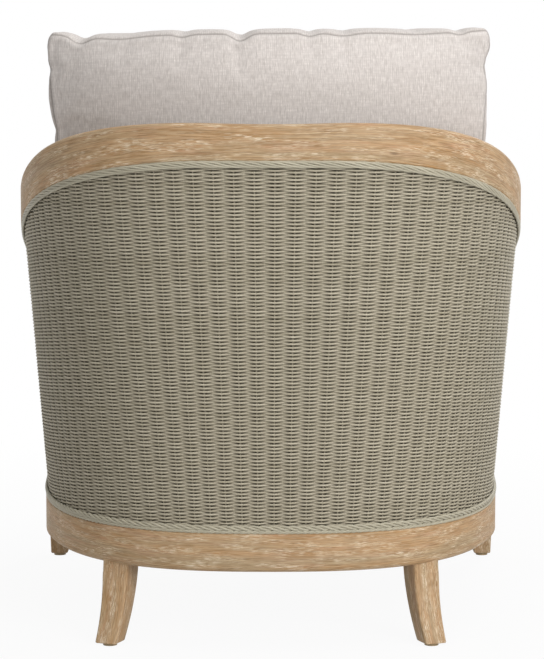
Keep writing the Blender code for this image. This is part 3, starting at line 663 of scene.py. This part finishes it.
def woven(name, at, ends_at, columns, levels, inset, facing, bands, seed, instead):
    """A woven sheet in bands: rows of strands, each over one stake and under the next, on their stakes.

    at(u, inset, z) is the sheet's surface, ends_at(z) the stakes at which a row stops, and facing is 1
    where the seen face looks out of the wall and -1 where it looks in.
    """
    chance = np.random.default_rng(seed)
    rows = np.arange(levels[0], levels[1], ROW_PITCH)
    turn = np.arange(4) * math.pi / 2
    tubes = []
    for row, z in enumerate(rows):
        first, last = ends_at(z)
        stake = np.append(np.arange(first, last, 0.25), last)
        if len(stake) < 6:
            continue
        drift = np.interp(stake, DRIFT_STAKES, chance.normal(0, 1, len(DRIFT_STAKES)))
        over = np.cos(math.pi * (stake + row))
        over = np.sign(over) * np.abs(over) ** STRAND_SQUARENESS
        wave = STRAND_WAVE * over * (1 + DRIFT_WAVE * drift)
        height = z + DRIFT_LEVEL * drift - STRAND_SAG * over ** 2
        out = wave[:, None] + STRAND_THICKNESS / 2 * np.cos(turn)
        tall = STRAND_HEIGHT / 2 * (1 + UNDER_GROWTH * np.clip(-over, 0, 1) ** UNDER_POWER)
        level = height[:, None] + tall[:, None] * np.sin(turn)
        u = columns(stake, z)
        rings = at(np.broadcast_to(u[:, None], out.shape), inset - facing * out, level)
        tone = np.clip(0.5 + TONE_SPREAD * chance.normal() + DRIFT_TONE * drift, 0, 1)
        # Painted shade: the further in the weave a point of a strand lies, the darker it is painted
        shade_amount = np.clip((PAINTED_SHADE_START - out) / PAINTED_SHADE_RUN, 0, 1)
        tubes.append((rings, tone, shade_amount))
    rods = []
    for stake in np.arange(math.ceil(ends_at(levels[0])[0]), ends_at(levels[0])[1] + 1e-6):
        z = np.linspace(levels[0] - STAKE_ROOT, levels[1], STAKE_RINGS)
        z = z[np.array([ends_at(v)[0] <= stake <= ends_at(v)[1] for v in z])]
        if len(z) < 3:
            continue
        step, out = np.array(STAKE_SECTION).T * 0.001
        u = columns(np.full(len(z), stake), z)[:, None] + step / HALF_WALL_RUN
        rings = at(u, np.broadcast_to(inset - facing * out, u.shape), np.broadcast_to(z[:, None], u.shape))
        rods.append((rings, STAKE_HIGHLIGHT_TONE, np.tile(STAKE_PAINTED_SHADE, (len(z), 1))))
    for band in range(bands):
        share = tubes[band * len(tubes) // bands:(band + 1) * len(tubes) // bands]
        title = name + "_rows_" + str(band + 1)
        add_piece(title, strands_mesh(title, share), WICKER, instead=instead)
    title = name + "_stakes"
    add_piece(title, strands_mesh(title, rods), WICKER, instead=instead)


def wall_ends(z):
    """The first and last stake of a row at height z: the front legs, or where the top rail cuts it off."""
    u = np.linspace(0, 1, 400)
    inside = u[rail_underside(u) > z]
    reach = inside[-1] if len(inside) else 0.0
    t = np.linspace(0, 1.02, 400)
    last = np.interp(reach, stake_place(t * STAKES - STAKE_SHIFT, np.full(400, z)), t) * STAKES
    return -last - STAKE_SHIFT, last - STAKE_SHIFT


woven("outer_weave", wall_point, wall_ends, stake_place, (BASE_RAIL_TOP + FIRST_ROW, TOP_RAIL_UNDERSIDE),
      WEAVE_INSET + WEAVE_THICKNESS / 2, facing=1, bands=4, seed=5, instead=["outer_weave"])
woven("inner_weave", wall_point, wall_ends, stake_place, (SEAT_LEDGER_TOP + FIRST_ROW, TOP_RAIL_UNDERSIDE),
      INNER_FACE - WEAVE_THICKNESS / 2, facing=-1, bands=3, seed=6, instead=["inner_weave"])

panel_low, panel_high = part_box("front_weave")
FRONT_COLUMNS = 14
FRONT_SIDE_GAP = 0.0006
FRONT_LEVELS = (panel_low.z + 0.0012, panel_high.z - 0.001)


def front_point(u, inset, z):
    """A point of the front panel, u from -1 to 1 across it and inset measured back from its face."""
    half = panel_high.x - FRONT_SIDE_GAP
    return np.stack(np.broadcast_arrays(u * half, panel_low.y + inset, z), -1)


def front_ends(z):
    return -FRONT_COLUMNS, FRONT_COLUMNS


def front_stake_place(stake, z):
    return stake / FRONT_COLUMNS


woven("front_weave", front_point, front_ends, front_stake_place, FRONT_LEVELS, WEAVE_THICKNESS / 2,
      facing=1, bands=1, seed=7, instead=["front_weave"])


# Braids: resin cords laid up into flat ropes and tacked over the raw edges of the woven sheets. The top
# ones are six strands with a long lay; the base ones are two thin ropes of opposite lay, side by side,
# so that their strands meet in a herringbone.
BRAID_THICKNESS = 0.0056
TOP_ROPE = dict(hand=1, raised=0.0022, strands=6, lay=0.100, rise=0.0036, depth=0.0011, radius=0.0017)
BASE_ROPES = [dict(hand=1, raised=0.0022, strands=3, lay=0.040, rise=0.0024, depth=0.0013, radius=0.0019),
              dict(hand=-1, raised=-0.0036, strands=3, lay=0.026, rise=0.0014, depth=0.0012, radius=0.0016)]
ROPE_STEP = 0.0035
ROPE_TONE_SPREAD = 0.2
BASE_BRAID_DROP = 0.0010
# Painted shade on the cords: how dark a cord is painted at its middle, how the painted shade grows inward
# into the creases, and the darkest that it gets
ROPE_SHADE_MIDDLE = 0.08
ROPE_SHADE_GROWTH = 0.6
ROPE_SHADE_MOST = 0.7

# The same extruded resin, a greener grey, with a soft satin light along each cord and 25 mm draw lines; its
# last tint is the painted shade in the cords' creases
BRAID = extruded_resin("resin_braid", 40, ("#A9A28D", "#C4BDA8", "#989180", "#4C483B"), 0.48, 0.35)


def rope(at, middle, length, facing, level, hand, raised, strands, lay, rise, depth, radius, chance):
    """The strands of one flat rope along at(u, inset, z), its middle at an inset and at level(u)."""
    u = np.linspace(-1, 1, int(length / ROPE_STEP))
    turn = np.arange(6) * math.pi / 3
    tubes = []
    for number in range(strands):
        angle = 2 * math.pi * (number / strands + hand * u * length / 2 / lay)
        out = depth * np.cos(angle)[:, None] + radius * np.cos(turn)
        up = raised + rise * np.sin(angle)[:, None] + radius * np.sin(turn)
        rings = at(np.broadcast_to(u[:, None], out.shape), middle - facing * out, level(u)[:, None] + up)
        # Painted shade: a cord is painted darker where it turns inward into the rope's creases
        shade_amount = np.clip(ROPE_SHADE_MIDDLE - ROPE_SHADE_GROWTH * out / (depth + radius), 0, ROPE_SHADE_MOST)
        tone = np.clip(0.5 + ROPE_TONE_SPREAD * chance.normal(), 0, 1)
        tubes.append((rings, tone, shade_amount))
    return tubes


braid_middle = BRAID_HEIGHT / 2 + HAIRLINE
outer_middle = WEAVE_INSET - HAIRLINE - BRAID_THICKNESS / 2
inner_middle = INNER_FACE + HAIRLINE + BRAID_THICKNESS / 2
chance = np.random.default_rng(11)


def top_braid_level(u):
    return rail_underside(u) - braid_middle


for name, middle, facing in [("outer_top_braid", outer_middle, 1), ("inner_top_braid", inner_middle, -1)]:
    tubes = rope(wall_point, middle, 2 * TOP_LINE[0], facing, top_braid_level, chance=chance, **TOP_ROPE)
    add_piece(name + "_rope", strands_mesh(name + "_rope", tubes), BRAID, instead=[name])

front_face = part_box("front_base_braid")
front_length = front_face[1].x - front_face[0].x
front_middle = (front_face[0].y + front_face[1].y) / 2 - panel_low.y
base_level = BASE_RAIL_TOP + braid_middle - BASE_BRAID_DROP
base_ropes = [("outer_base_braid", wall_point, outer_middle, 2 * BASE_LINE[0], base_level)]
for name in ("front_base_braid", "front_seat_braid"):
    front_level = sum(corner.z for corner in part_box(name)) / 2
    base_ropes.append((name, front_point, front_middle, front_length, front_level))
for name, at, middle, length, height in base_ropes:
    tubes = []
    for laid in BASE_ROPES:
        tubes += rope(at, middle, length, 1, lambda u: np.full(len(u), height), chance=chance, **laid)
    add_piece(name + "_rope", strands_mesh(name + "_rope", tubes), BRAID, instead=[name])


# Seat webbing: black rubberised polypropylene straps, 50 mm wide, interlaced five by five and stapled to
# the ledger and the front rail. The CAD straps keep their shape; the finish gives them their weave.
WEBBING, tree, shader = new_finish("woven_polypropylene_webbing")
# Woven polypropylene: dull black with a 3 mm chevron rib, bumped, with a painted highlight that lightens the
# rib where it would catch a little light
place = add_node(tree, "TexCoord").outputs["Object"]
fitted = add_node(tree, "Mapping", {"Vector": place, "Rotation": (0, 0, math.pi / 4), "Scale": (333,) * 3})
rib = add_node(tree, "TexWave", {"Vector": fitted.outputs[0], "Scale": 0.314, "Distortion": 1.5})
rib = rib.outputs["Fac"]
colour = add_node(tree, "Mix", {0: rib, 6: linear("#151514"), 7: linear("#34332F")}, data_type="RGBA")
tree.links.new(colour.outputs[2], shader.inputs["Base Color"])
shader.inputs["Roughness"].default_value = 0.75
ribs = add_node(tree, "Bump", {"Height": rib, "Strength": 0.5, "Distance": 0.0005})
tree.links.new(ribs.outputs[0], shader.inputs["Normal"])
for strap in range(1, 6):
    nodes["webbing_long_" + str(strap)].data.materials[0] = WEBBING
    nodes["webbing_cross_" + str(strap)].data.materials[0] = WEBBING


# Seat cushion: a loose boxed cushion, round at the back to fill the barrel and straight at the front,
# foam wrapped in fibre under a sewn linen-look cover. Panels above and below are seamed to a boxing strip;
# the cover is stuffed here by cloth simulation with its seams held.
SEAT_BOTTOM = 0.2732
SEAT_THICKNESS = 0.145
SEAT_CROWN = 0.024
SEAT_BULGE = 0.005
SEAT_PULL = 0.010
SEAT_CLEARANCE = 0.006
SEAT_OVERHANG = 0.006
SEAT_CELLS = (84, 84, 16)
FILLING_FRAMES = 20
SEAM_DEPTH = 0.0030
SEAM_WIDTH = 0.0030
# The cover swells into a low lip beside the seam's groove
LIP_HEIGHT = 0.0012
LIP_PLACE = 0.0078
LIP_WIDTH = 0.0039
# Painted shade in the seams' grooves: its darkness at the seam and how far it spreads
SEAM_SHADE = 0.72
SEAM_SHADE_WIDTH = 0.0017

LINEN, tree, shader = new_finish("outdoor_linen")
# Slubbed plain weave in solution-dyed yarn: pale greige, quite matt, with uneven upright threads, finer cross
# threads and a soft edge sheen from loose fibre, and painted shade along the grooves of its seams
place = add_node(tree, "TexCoord").outputs["Object"]
seam = add_node(tree, "Attribute", attribute_name="seam").outputs["Fac"]
cloth = add_node(tree, "Attribute", attribute_name="cloth").outputs["Vector"]
# Threads are 0.7 mm apart on the real cloth; they are drawn 2.8 mm apart so that they show, with slubs
# 2.4 mm wide and 11 mm long, cross threads 2.4 mm wide and 17 mm long, and 1.9 mm specks
upright = add_node(tree, "TexWave", {"Vector": cloth, "Scale": 113, "Distortion": 3.0, "Detail": 1.0,
                                     "Detail Scale": 0.7}).outputs["Fac"]
fitted = add_node(tree, "Mapping", {"Vector": cloth, "Scale": (420, 90, 1)}).outputs[0]
slub = add_node(tree, "TexNoise", {"Vector": fitted, "Scale": 1.0, "Detail": 3.0,
                                   "Roughness": 0.65}).outputs[0]
fitted = add_node(tree, "Mapping", {"Vector": cloth, "Scale": (60, 420, 1)}).outputs[0]
cross = add_node(tree, "TexNoise", {"Vector": fitted, "Scale": 1.0, "Detail": 2.0}).outputs[0]
fitted = add_node(tree, "Mapping", {"Vector": place, "Scale": (520, 520, 520)}).outputs[0]
speck = add_node(tree, "TexNoise", {"Vector": fitted, "Scale": 1.0, "Detail": 1.0}).outputs[0]
slub_share = add_node(tree, "MapRange", {0: slub, 1: 0.32, 2: 0.68}).outputs[0]
speck_share = add_node(tree, "MapRange", {0: speck, 1: 0.30, 2: 0.70, 3: 0.0, 4: 0.5}).outputs[0]
upright_share = add_node(tree, "Math", {0: upright, 1: slub_share}, operation="MULTIPLY").outputs[0]
cross_share = add_node(tree, "MapRange", {0: cross, 1: 0.35, 2: 0.65, 3: 0.0, 4: 0.45}).outputs[0]
colour = linear("#BDB5B0")
# The last tint is the painted shade in the seams' grooves
for share, tint in [(slub_share, "#E0D9D4"), (upright_share, "#EFE9E4"), (cross_share, "#C0B8B3"),
                    (speck_share, "#CFC8C3"), (seam, "#857D77")]:
    mixed = add_node(tree, "Mix", {0: share, 6: colour, 7: linear(tint)}, data_type="RGBA")
    colour = mixed.outputs[2]
tree.links.new(colour, shader.inputs["Base Color"])
shader.inputs["Roughness"].default_value = 0.88
shader.inputs["Specular IOR Level"].default_value = 0.20
shader.inputs["Sheen Weight"].default_value = 0.08
shader.inputs["Sheen Roughness"].default_value = 0.5
threads = add_node(tree, "Math", {0: upright_share, 1: cross_share}, operation="ADD").outputs[0]
thread_relief = add_node(tree, "Bump", {"Height": threads, "Strength": 0.2, "Distance": 0.0004})
tree.links.new(thread_relief.outputs[0], shader.inputs["Normal"])


def box_skin(cells):
    """Points from 0 to 1 and quads of a box's six faces, cut into cells that are closer at the edges."""
    steps = []
    for count in cells:
        even = np.linspace(-1, 1, count + 1)
        steps.append(0.5 + 0.5 * (0.45 * even + 0.55 * np.sin(math.pi * even / 2)))
    numbers, places, quads = {}, [], []

    def number(key):
        if key not in numbers:
            numbers[key] = len(places)
            places.append([steps[axis][key[axis]] for axis in range(3)])
        return numbers[key]

    for axis in range(3):
        one, two = (axis + 1) % 3, (axis + 2) % 3
        for end in (0, cells[axis]):
            for i in range(cells[one]):
                for j in range(cells[two]):
                    corners = []
                    for di, dj in [(0, 0), (1, 0), (1, 1), (0, 1)]:
                        key = [0, 0, 0]
                        key[axis], key[one], key[two] = end, i + di, j + dj
                        corners.append(number(tuple(key)))
                    quads.append(corners if end else corners[::-1])
    return np.array(places), quads


def lay_cloth(mesh, share, start):
    """Stores how the cloth lies on each panel of a box-like cover: across, along, and which way it faces."""
    corner = np.empty(len(mesh.loops), np.int32)
    mesh.loops.foreach_get("vertex_index", corner)
    corner = corner.reshape(-1, 4)
    across_face = np.argmin(np.ptp(share[corner], axis=1), axis=1)
    laid = np.empty((len(corner), 4, 3))
    for axis, (weft, warp) in enumerate([(1, 2), (0, 2), (0, 1)]):
        panel = across_face == axis
        laid[panel, :, 0] = start[corner[panel], weft]
        laid[panel, :, 1] = start[corner[panel], warp]
        laid[panel, :, 2] = axis
    mark(mesh, "cloth", laid.reshape(-1, 3), "CORNER")


def fill_cover(piece, start, still, pressure, growth, cap):
    """Fills a cover by cloth simulation, with some points held still and none moved further than cap."""
    pinned = piece.vertex_groups.new(name="seams")
    pinned.add(np.nonzero(still)[0].tolist(), 1.0, "REPLACE")
    cloth = piece.modifiers.new("filling", "CLOTH")
    settings = cloth.settings
    settings.quality = 6
    settings.mass = 0.25
    settings.air_damping = 2.0
    settings.tension_stiffness = settings.compression_stiffness = 18
    settings.shear_stiffness = 6
    settings.bending_stiffness = 0.6
    settings.use_pressure = True
    settings.uniform_pressure_force = pressure
    settings.shrink_min = -growth
    settings.vertex_group_mass = "seams"
    settings.effector_weights.gravity = 0
    cloth.collision_settings.use_collision = False
    cloth.point_cache.frame_start, cloth.point_cache.frame_end = 1, FILLING_FRAMES
    scene = bpy.context.scene
    for moment in range(1, FILLING_FRAMES + 1):
        scene.frame_set(moment)
    filled = piece.evaluated_get(bpy.context.evaluated_depsgraph_get()).to_mesh()
    swollen = np.empty(len(start) * 3, np.float32)
    filled.vertices.foreach_get("co", swollen)
    moved = swollen.reshape(-1, 3) - start
    far = np.linalg.norm(moved, axis=1, keepdims=True)
    moved = moved * np.minimum(1, cap / np.maximum(far, 1e-9))
    piece.modifiers.clear()
    scene.frame_set(1)
    piece.data.vertices.foreach_set("co", (start + moved).astype(np.float32).ravel())
    piece.data.update()


def draw_in_seams(mesh, seam):
    """Sinks a cover along its seams, with a low lip on both sides, and stores painted shade for each seam's
    groove.
    """
    co = np.array([v.co for v in mesh.vertices])
    seam_points = kdtree.KDTree(int(seam.sum()))
    for order, index in enumerate(np.nonzero(seam)[0]):
        seam_points.insert(co[index], order)
    seam_points.balance()
    from_seam = np.array([seam_points.find(p)[2] for p in co])
    normals = np.array([v.normal for v in mesh.vertices])
    groove = np.exp(-((from_seam / SEAM_WIDTH) ** 2))
    lip = np.exp(-(((from_seam - LIP_PLACE) / LIP_WIDTH) ** 2))
    co += normals * (LIP_HEIGHT * lip - SEAM_DEPTH * groove)[:, None]
    mesh.vertices.foreach_set("co", co.astype(np.float32).ravel())
    mark(mesh, "seam", np.exp(-((from_seam / SEAM_SHADE_WIDTH) ** 2)) * SEAM_SHADE)
    mesh.update()


def stuffed(name, cells, panel_axis, form, pressure, growth, cap, body):
    """A sewn cover, filled with its seams and underside held, smoothed, and drawn in along its seams.

    The panels are the box faces across panel_axis, and form(a, b, c) places the cover before it is filled.
    """
    share, quads = box_skin(cells)
    mesh = bpy.data.meshes.new(name)
    start = form(*share.T)
    mesh.from_pydata(start, [], quads)
    volume = sum(p.center.dot(p.normal) * p.area for p in mesh.polygons)
    if volume < 0:
        mesh.flip_normals()
    signed = np.abs(2 * share - 1)
    others = np.delete(signed, panel_axis, 1).max(1)
    seam = (signed[:, panel_axis] > 1 - 1e-6) & (others > 1 - 1e-6)
    lay_cloth(mesh, share, start)
    piece = add_piece(name, mesh, LINEN, body)
    underside = share[:, 2] < 0.01
    fill_cover(piece, start, seam | underside, pressure, growth, cap)
    draw_in_seams(mesh, seam)
    smooth = piece.modifiers.new("smooth_cover", "SUBSURF")
    smooth.levels = smooth.render_levels = 1
    finished = bpy.data.meshes.new_from_object(piece.evaluated_get(bpy.context.evaluated_depsgraph_get()))
    piece.modifiers.clear()
    piece.data = finished
    return piece


seat_inset = RAIL_WIDTH + SEAT_CLEARANCE + SEAT_BULGE
seat_line = wall_point(np.linspace(0, ARM_REACH, 193), seat_inset, np.full(193, SEAT_BOTTOM))


def seat_form(a, b, c):
    across, back = 2 * a - 1, 2 * b - 1
    share = (SEAT_BOTTOM - BASE_RAIL_TOP) / (TOP_RAIL_UNDERSIDE - BASE_RAIL_TOP)
    middle = BASE_CURVE_DEPTH + (TOP_CURVE_DEPTH - RECLINE - BASE_CURVE_DEPTH) * share
    rear = seat_inset - RECLINE * share
    front = WALL_DEPTH + HAIRLINE + POST_DEPTH + SEAT_OVERHANG
    edge = np.maximum(np.abs(across), np.abs(back))
    puff = SEAT_BULGE * (1 - np.abs(2 * c - 1)) * edge ** 4
    reach = middle + np.maximum(-back, 0) * (front - middle)
    half = np.interp(reach, REAR_Y - seat_line[:, 1], seat_line[:, 0])
    round_x = across * np.sqrt(1 - back * back / 2) * (half + puff)
    round_depth = middle - back * np.sqrt(1 - across * across / 2) * (middle - rear + puff)
    plain_x = across * (half + puff - SEAT_PULL * 4 * -back * (1 + back))
    plain_depth = middle - back * (front - middle + puff - SEAT_PULL * (1 - across * across))
    x = np.where(back > 0, round_x, plain_x)
    depth = np.where(back > 0, round_depth, plain_depth)
    crown = SEAT_CROWN * (1 - across ** 2) * (1 - back ** 4)
    return np.stack([x, REAR_Y - depth, SEAT_BOTTOM + c * (SEAT_THICKNESS + crown)], -1)


seat = stuffed("seat_cushion_cover", SEAT_CELLS, 2, seat_form, pressure=2.0, growth=0.01, cap=0.006,
               body="seat_cushion")
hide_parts("seat_cushion")


# Back cushion: a loose boxed pillow that leans in the hollow of the back and stands above the rail. The
# same linen-look cover over fibre; the boxing is gathered unevenly, so the seam dips at the gathers and
# the corners stand up in dog ears.
BACK_BOTTOM = 0.4407
BACK_HEIGHT = 0.4185
BACK_BOTTOM_HALF = 0.301
BACK_TOP_HALF = 0.3225
BACK_WIDENING = 0.55
BACK_REAR_BOTTOM = 0.275
BACK_LEAN = 0.060
BACK_EDGE_THICKNESS = 0.115
BACK_BEND = 0.085
BACK_REAR_CROWN = 0.060
BACK_REAR_PLUMP = 0.5
BACK_PLUMP_START = -0.3
BACK_PLUMP_RUN = 0.8
BACK_FRONT_CROWN = 0.038
BACK_SIDE_PULL = 0.007
BACK_TOP_BULGE = 0.0045
BACK_SIDE_BULGE = -0.008
BACK_SHIFT = 0.003
BACK_TILT = 0.0030
BACK_CORNER = 0.009
BACK_CORNER_DROP = 0.8
BACK_EAR = 0.0112
# How much less the gathers and ears are at the front seam, and how much thinner the front corners
FRONT_EASE = 0.45
FRONT_CORNER_EASE = 0.12
# Powers that keep a form near an edge or a corner: the higher, the closer it keeps
BOXING_POWER = 2.2
EDGE_PUFF_POWER = 6
SIDE_GATHER_POWER = 16
TOP_GATHER_POWER = 14
CORNER_POWER = 22
EAR_POWER = 11
FRONT_CORNER_POWER = 16
BACK_CELLS = (120, 18, 72)
# Gathers along the top seam: place across, drop and half width
TOP_GATHERS = [(0.270, 0.011, 0.016), (0.215, 0.005, 0.040), (0.122, 0.004, 0.011), (0.040, 0.011, 0.012),
               (-0.057, 0.005, 0.010), (-0.104, 0.004, 0.020), (-0.206, 0.002, 0.030), (-0.273, 0.004, 0.010)]
# Gathers along the two side seams: place up the cushion, draw-in and half width
LEFT_GATHERS = [(0.890, 0.003, 0.012), (0.675, 0.003, 0.045)]
RIGHT_GATHERS = [(0.886, 0.007, 0.040)]


def gathered(place, gathers):
    return sum(drop * np.exp(-(((place - at) / width) ** 2)) for at, drop, width in gathers)


def back_form(a, b, c):
    across, up, through = 2 * a - 1, 2 * c - 1, 2 * b - 1
    half = BACK_BOTTOM_HALF + (BACK_TOP_HALF - BACK_BOTTOM_HALF) * c ** BACK_WIDENING
    half = half - BACK_SIDE_PULL * (1 - up * up)
    open_edge = 1 - np.abs(through) ** BOXING_POWER
    side_puff = BACK_SIDE_BULGE * open_edge * np.abs(across) ** EDGE_PUFF_POWER
    above = np.clip(up, 0, 1)
    top_puff = BACK_TOP_BULGE * open_edge * above ** EDGE_PUFF_POWER
    x = across * (half + side_puff)
    rear_share = 1 - FRONT_EASE * b
    x -= np.clip(across, 0, 1) ** SIDE_GATHER_POWER * gathered(c, LEFT_GATHERS) * rear_share
    x += np.clip(-across, 0, 1) ** SIDE_GATHER_POWER * gathered(c, RIGHT_GATHERS) * rear_share
    z = BACK_BOTTOM + BACK_HEIGHT * c + top_puff
    z -= gathered(x, TOP_GATHERS) * above ** TOP_GATHER_POWER * rear_share + BACK_TILT * across * c
    into_corner = np.abs(across) * above
    corner = into_corner ** CORNER_POWER * BACK_CORNER
    x += BACK_SHIFT * c - np.sign(across) * corner
    z += BACK_EAR * into_corner ** EAR_POWER * rear_share ** 2 - BACK_CORNER_DROP * corner
    full = (1 - across ** 4) * (1 - up ** 4)
    edge_depth = BACK_REAR_BOTTOM - BACK_LEAN * c - BACK_BEND * (1 - across ** 2)
    plump = BACK_REAR_PLUMP * gentle(np.clip((up - BACK_PLUMP_START) / BACK_PLUMP_RUN, 0, 1))
    rear = edge_depth - BACK_REAR_CROWN * (full + plump * (1 - full))
    thickness = BACK_EDGE_THICKNESS * (1 - FRONT_CORNER_EASE * into_corner ** FRONT_CORNER_POWER)
    front = edge_depth + thickness + BACK_FRONT_CROWN * full
    return np.stack([x, REAR_Y - (rear + (front - rear) * b), z], -1)


back = stuffed("back_cushion_cover", BACK_CELLS, 1, back_form, pressure=2.5, growth=0.007, cap=0.008,
               body="back_cushion")
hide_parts("back_cushion")


# Studio: a white sweep in an even white surround, with a large soft lamp on the right of the picture and
# weaker ones behind the camera, overhead and in front of the chair. The camera looks square on to the
# chair's back, from a little above the top rail.
CAMERA_DISTANCE = 3.101
CAMERA_HEIGHT = 0.740
CAMERA_DROP = math.radians(5.311)
PICTURE = (544, 659)
PICTURE_MIDDLE = 270.8
FOCAL_PIXELS = 2274
FILM_HEIGHT = 36
FLOOR_REACH = 20
# The floor near the chair keeps a little of its own shading, and with it the chair's shadow
SHADOW_RANGE = (0.5, 1.8)
SHADOW_GLOW = 0.94
SURROUND_LIGHT = 0.38


def seen_rays(tree):
    """1 for rays that show the backdrop: the camera's, and those mirrored or let through."""
    rays = add_node(tree, "LightPath")
    seen = rays.outputs["Is Camera Ray"]
    for kind in ("Is Glossy Ray", "Is Transmission Ray"):
        seen = add_node(tree, "Math", {0: seen, 1: rays.outputs[kind]}, operation="MAXIMUM").outputs[0]
    return seen


floor_mesh = bpy.data.meshes.new("studio_floor")
floor_corners = [(x * FLOOR_REACH, y * FLOOR_REACH, 0) for x, y in [(-1, -1), (1, -1), (1, 1), (-1, 1)]]
floor_mesh.from_pydata(floor_corners, [], [(0, 1, 2, 3)])
floor = bpy.data.objects.new("studio_floor", floor_mesh)
bpy.context.scene.collection.objects.link(floor)
white = bpy.data.materials.new("white_sweep")
# Matt white paper on a roll: plain white to the eye, with a soft shadow near the chair
white.use_nodes = True
tree = white.node_tree
tree.nodes.clear()
place = add_node(tree, "TexCoord").outputs["Object"]
reach = add_node(tree, "VectorMath", {0: place}, operation="LENGTH").outputs["Value"]
near, far = SHADOW_RANGE
glowing = add_node(tree, "MapRange", {0: reach, 1: near, 2: far, 3: SHADOW_GLOW, 4: 1.0}).outputs[0]
share = add_node(tree, "Math", {0: seen_rays(tree), 1: glowing}, operation="MULTIPLY").outputs[0]
paper = add_node(tree, "BsdfDiffuse", {"Color": linear("#D9D9D9")}).outputs[0]
glow = add_node(tree, "Emission", {"Strength": 1.0}).outputs[0]
both = add_node(tree, "MixShader", {0: share, 1: paper, 2: glow}).outputs[0]
tree.links.new(both, add_node(tree, "OutputMaterial").inputs["Surface"])
floor_mesh.materials.append(white)

world = bpy.data.worlds.new("white_surround")
bpy.context.scene.world = world
world.use_nodes = True
tree = world.node_tree
tree.nodes.clear()
lit = add_node(tree, "Background", {"Color": (1, 1, 1, 1), "Strength": SURROUND_LIGHT}).outputs[0]
shown = add_node(tree, "Background", {"Color": (1, 1, 1, 1), "Strength": 1.0}).outputs[0]
both = add_node(tree, "MixShader", {0: seen_rays(tree), 1: lit, 2: shown}).outputs[0]
tree.links.new(both, add_node(tree, "OutputWorld").inputs["Surface"])


def soft_lamp(name, place, aim, size, energy):
    lamp = bpy.data.lights.new(name, "AREA")
    lamp.size = size
    lamp.energy = energy
    holder = bpy.data.objects.new(name, lamp)
    bpy.context.scene.collection.objects.link(holder)
    holder.location = place
    holder.rotation_euler = (Vector(aim) - Vector(place)).to_track_quat("-Z", "Y").to_euler()


soft_lamp("window_right", (-2.5, 3.5, 1.9), (0, 0.1, 0.45), size=1.8, energy=97)
soft_lamp("rear_fill", (0.2, 4.6, 1.2), (0, 0, 0.6), size=1.8, energy=29)
soft_lamp("overhead", (-0.5, 0.6, 3.4), (0, 0, 0.4), size=2.2, energy=29)
soft_lamp("front_fill", (-1.2, -3.4, 2.2), (0, 0, 0.5), size=2.0, energy=45)

camera = bpy.data.cameras.new("photo_camera")
camera.sensor_fit = "VERTICAL"
camera.sensor_height = FILM_HEIGHT
camera.lens = FOCAL_PIXELS * FILM_HEIGHT / PICTURE[1]
camera.shift_x = (PICTURE[0] / 2 - PICTURE_MIDDLE) / PICTURE[1]
holder = bpy.data.objects.new("photo_camera", camera)
bpy.context.scene.collection.objects.link(holder)
holder.location = (0, REAR_Y + CAMERA_DISTANCE, CAMERA_HEIGHT)
holder.rotation_euler = (math.pi / 2 - CAMERA_DROP, 0, math.pi)
bpy.context.scene.camera = holder
bpy.context.scene.view_settings.view_transform = "Standard"
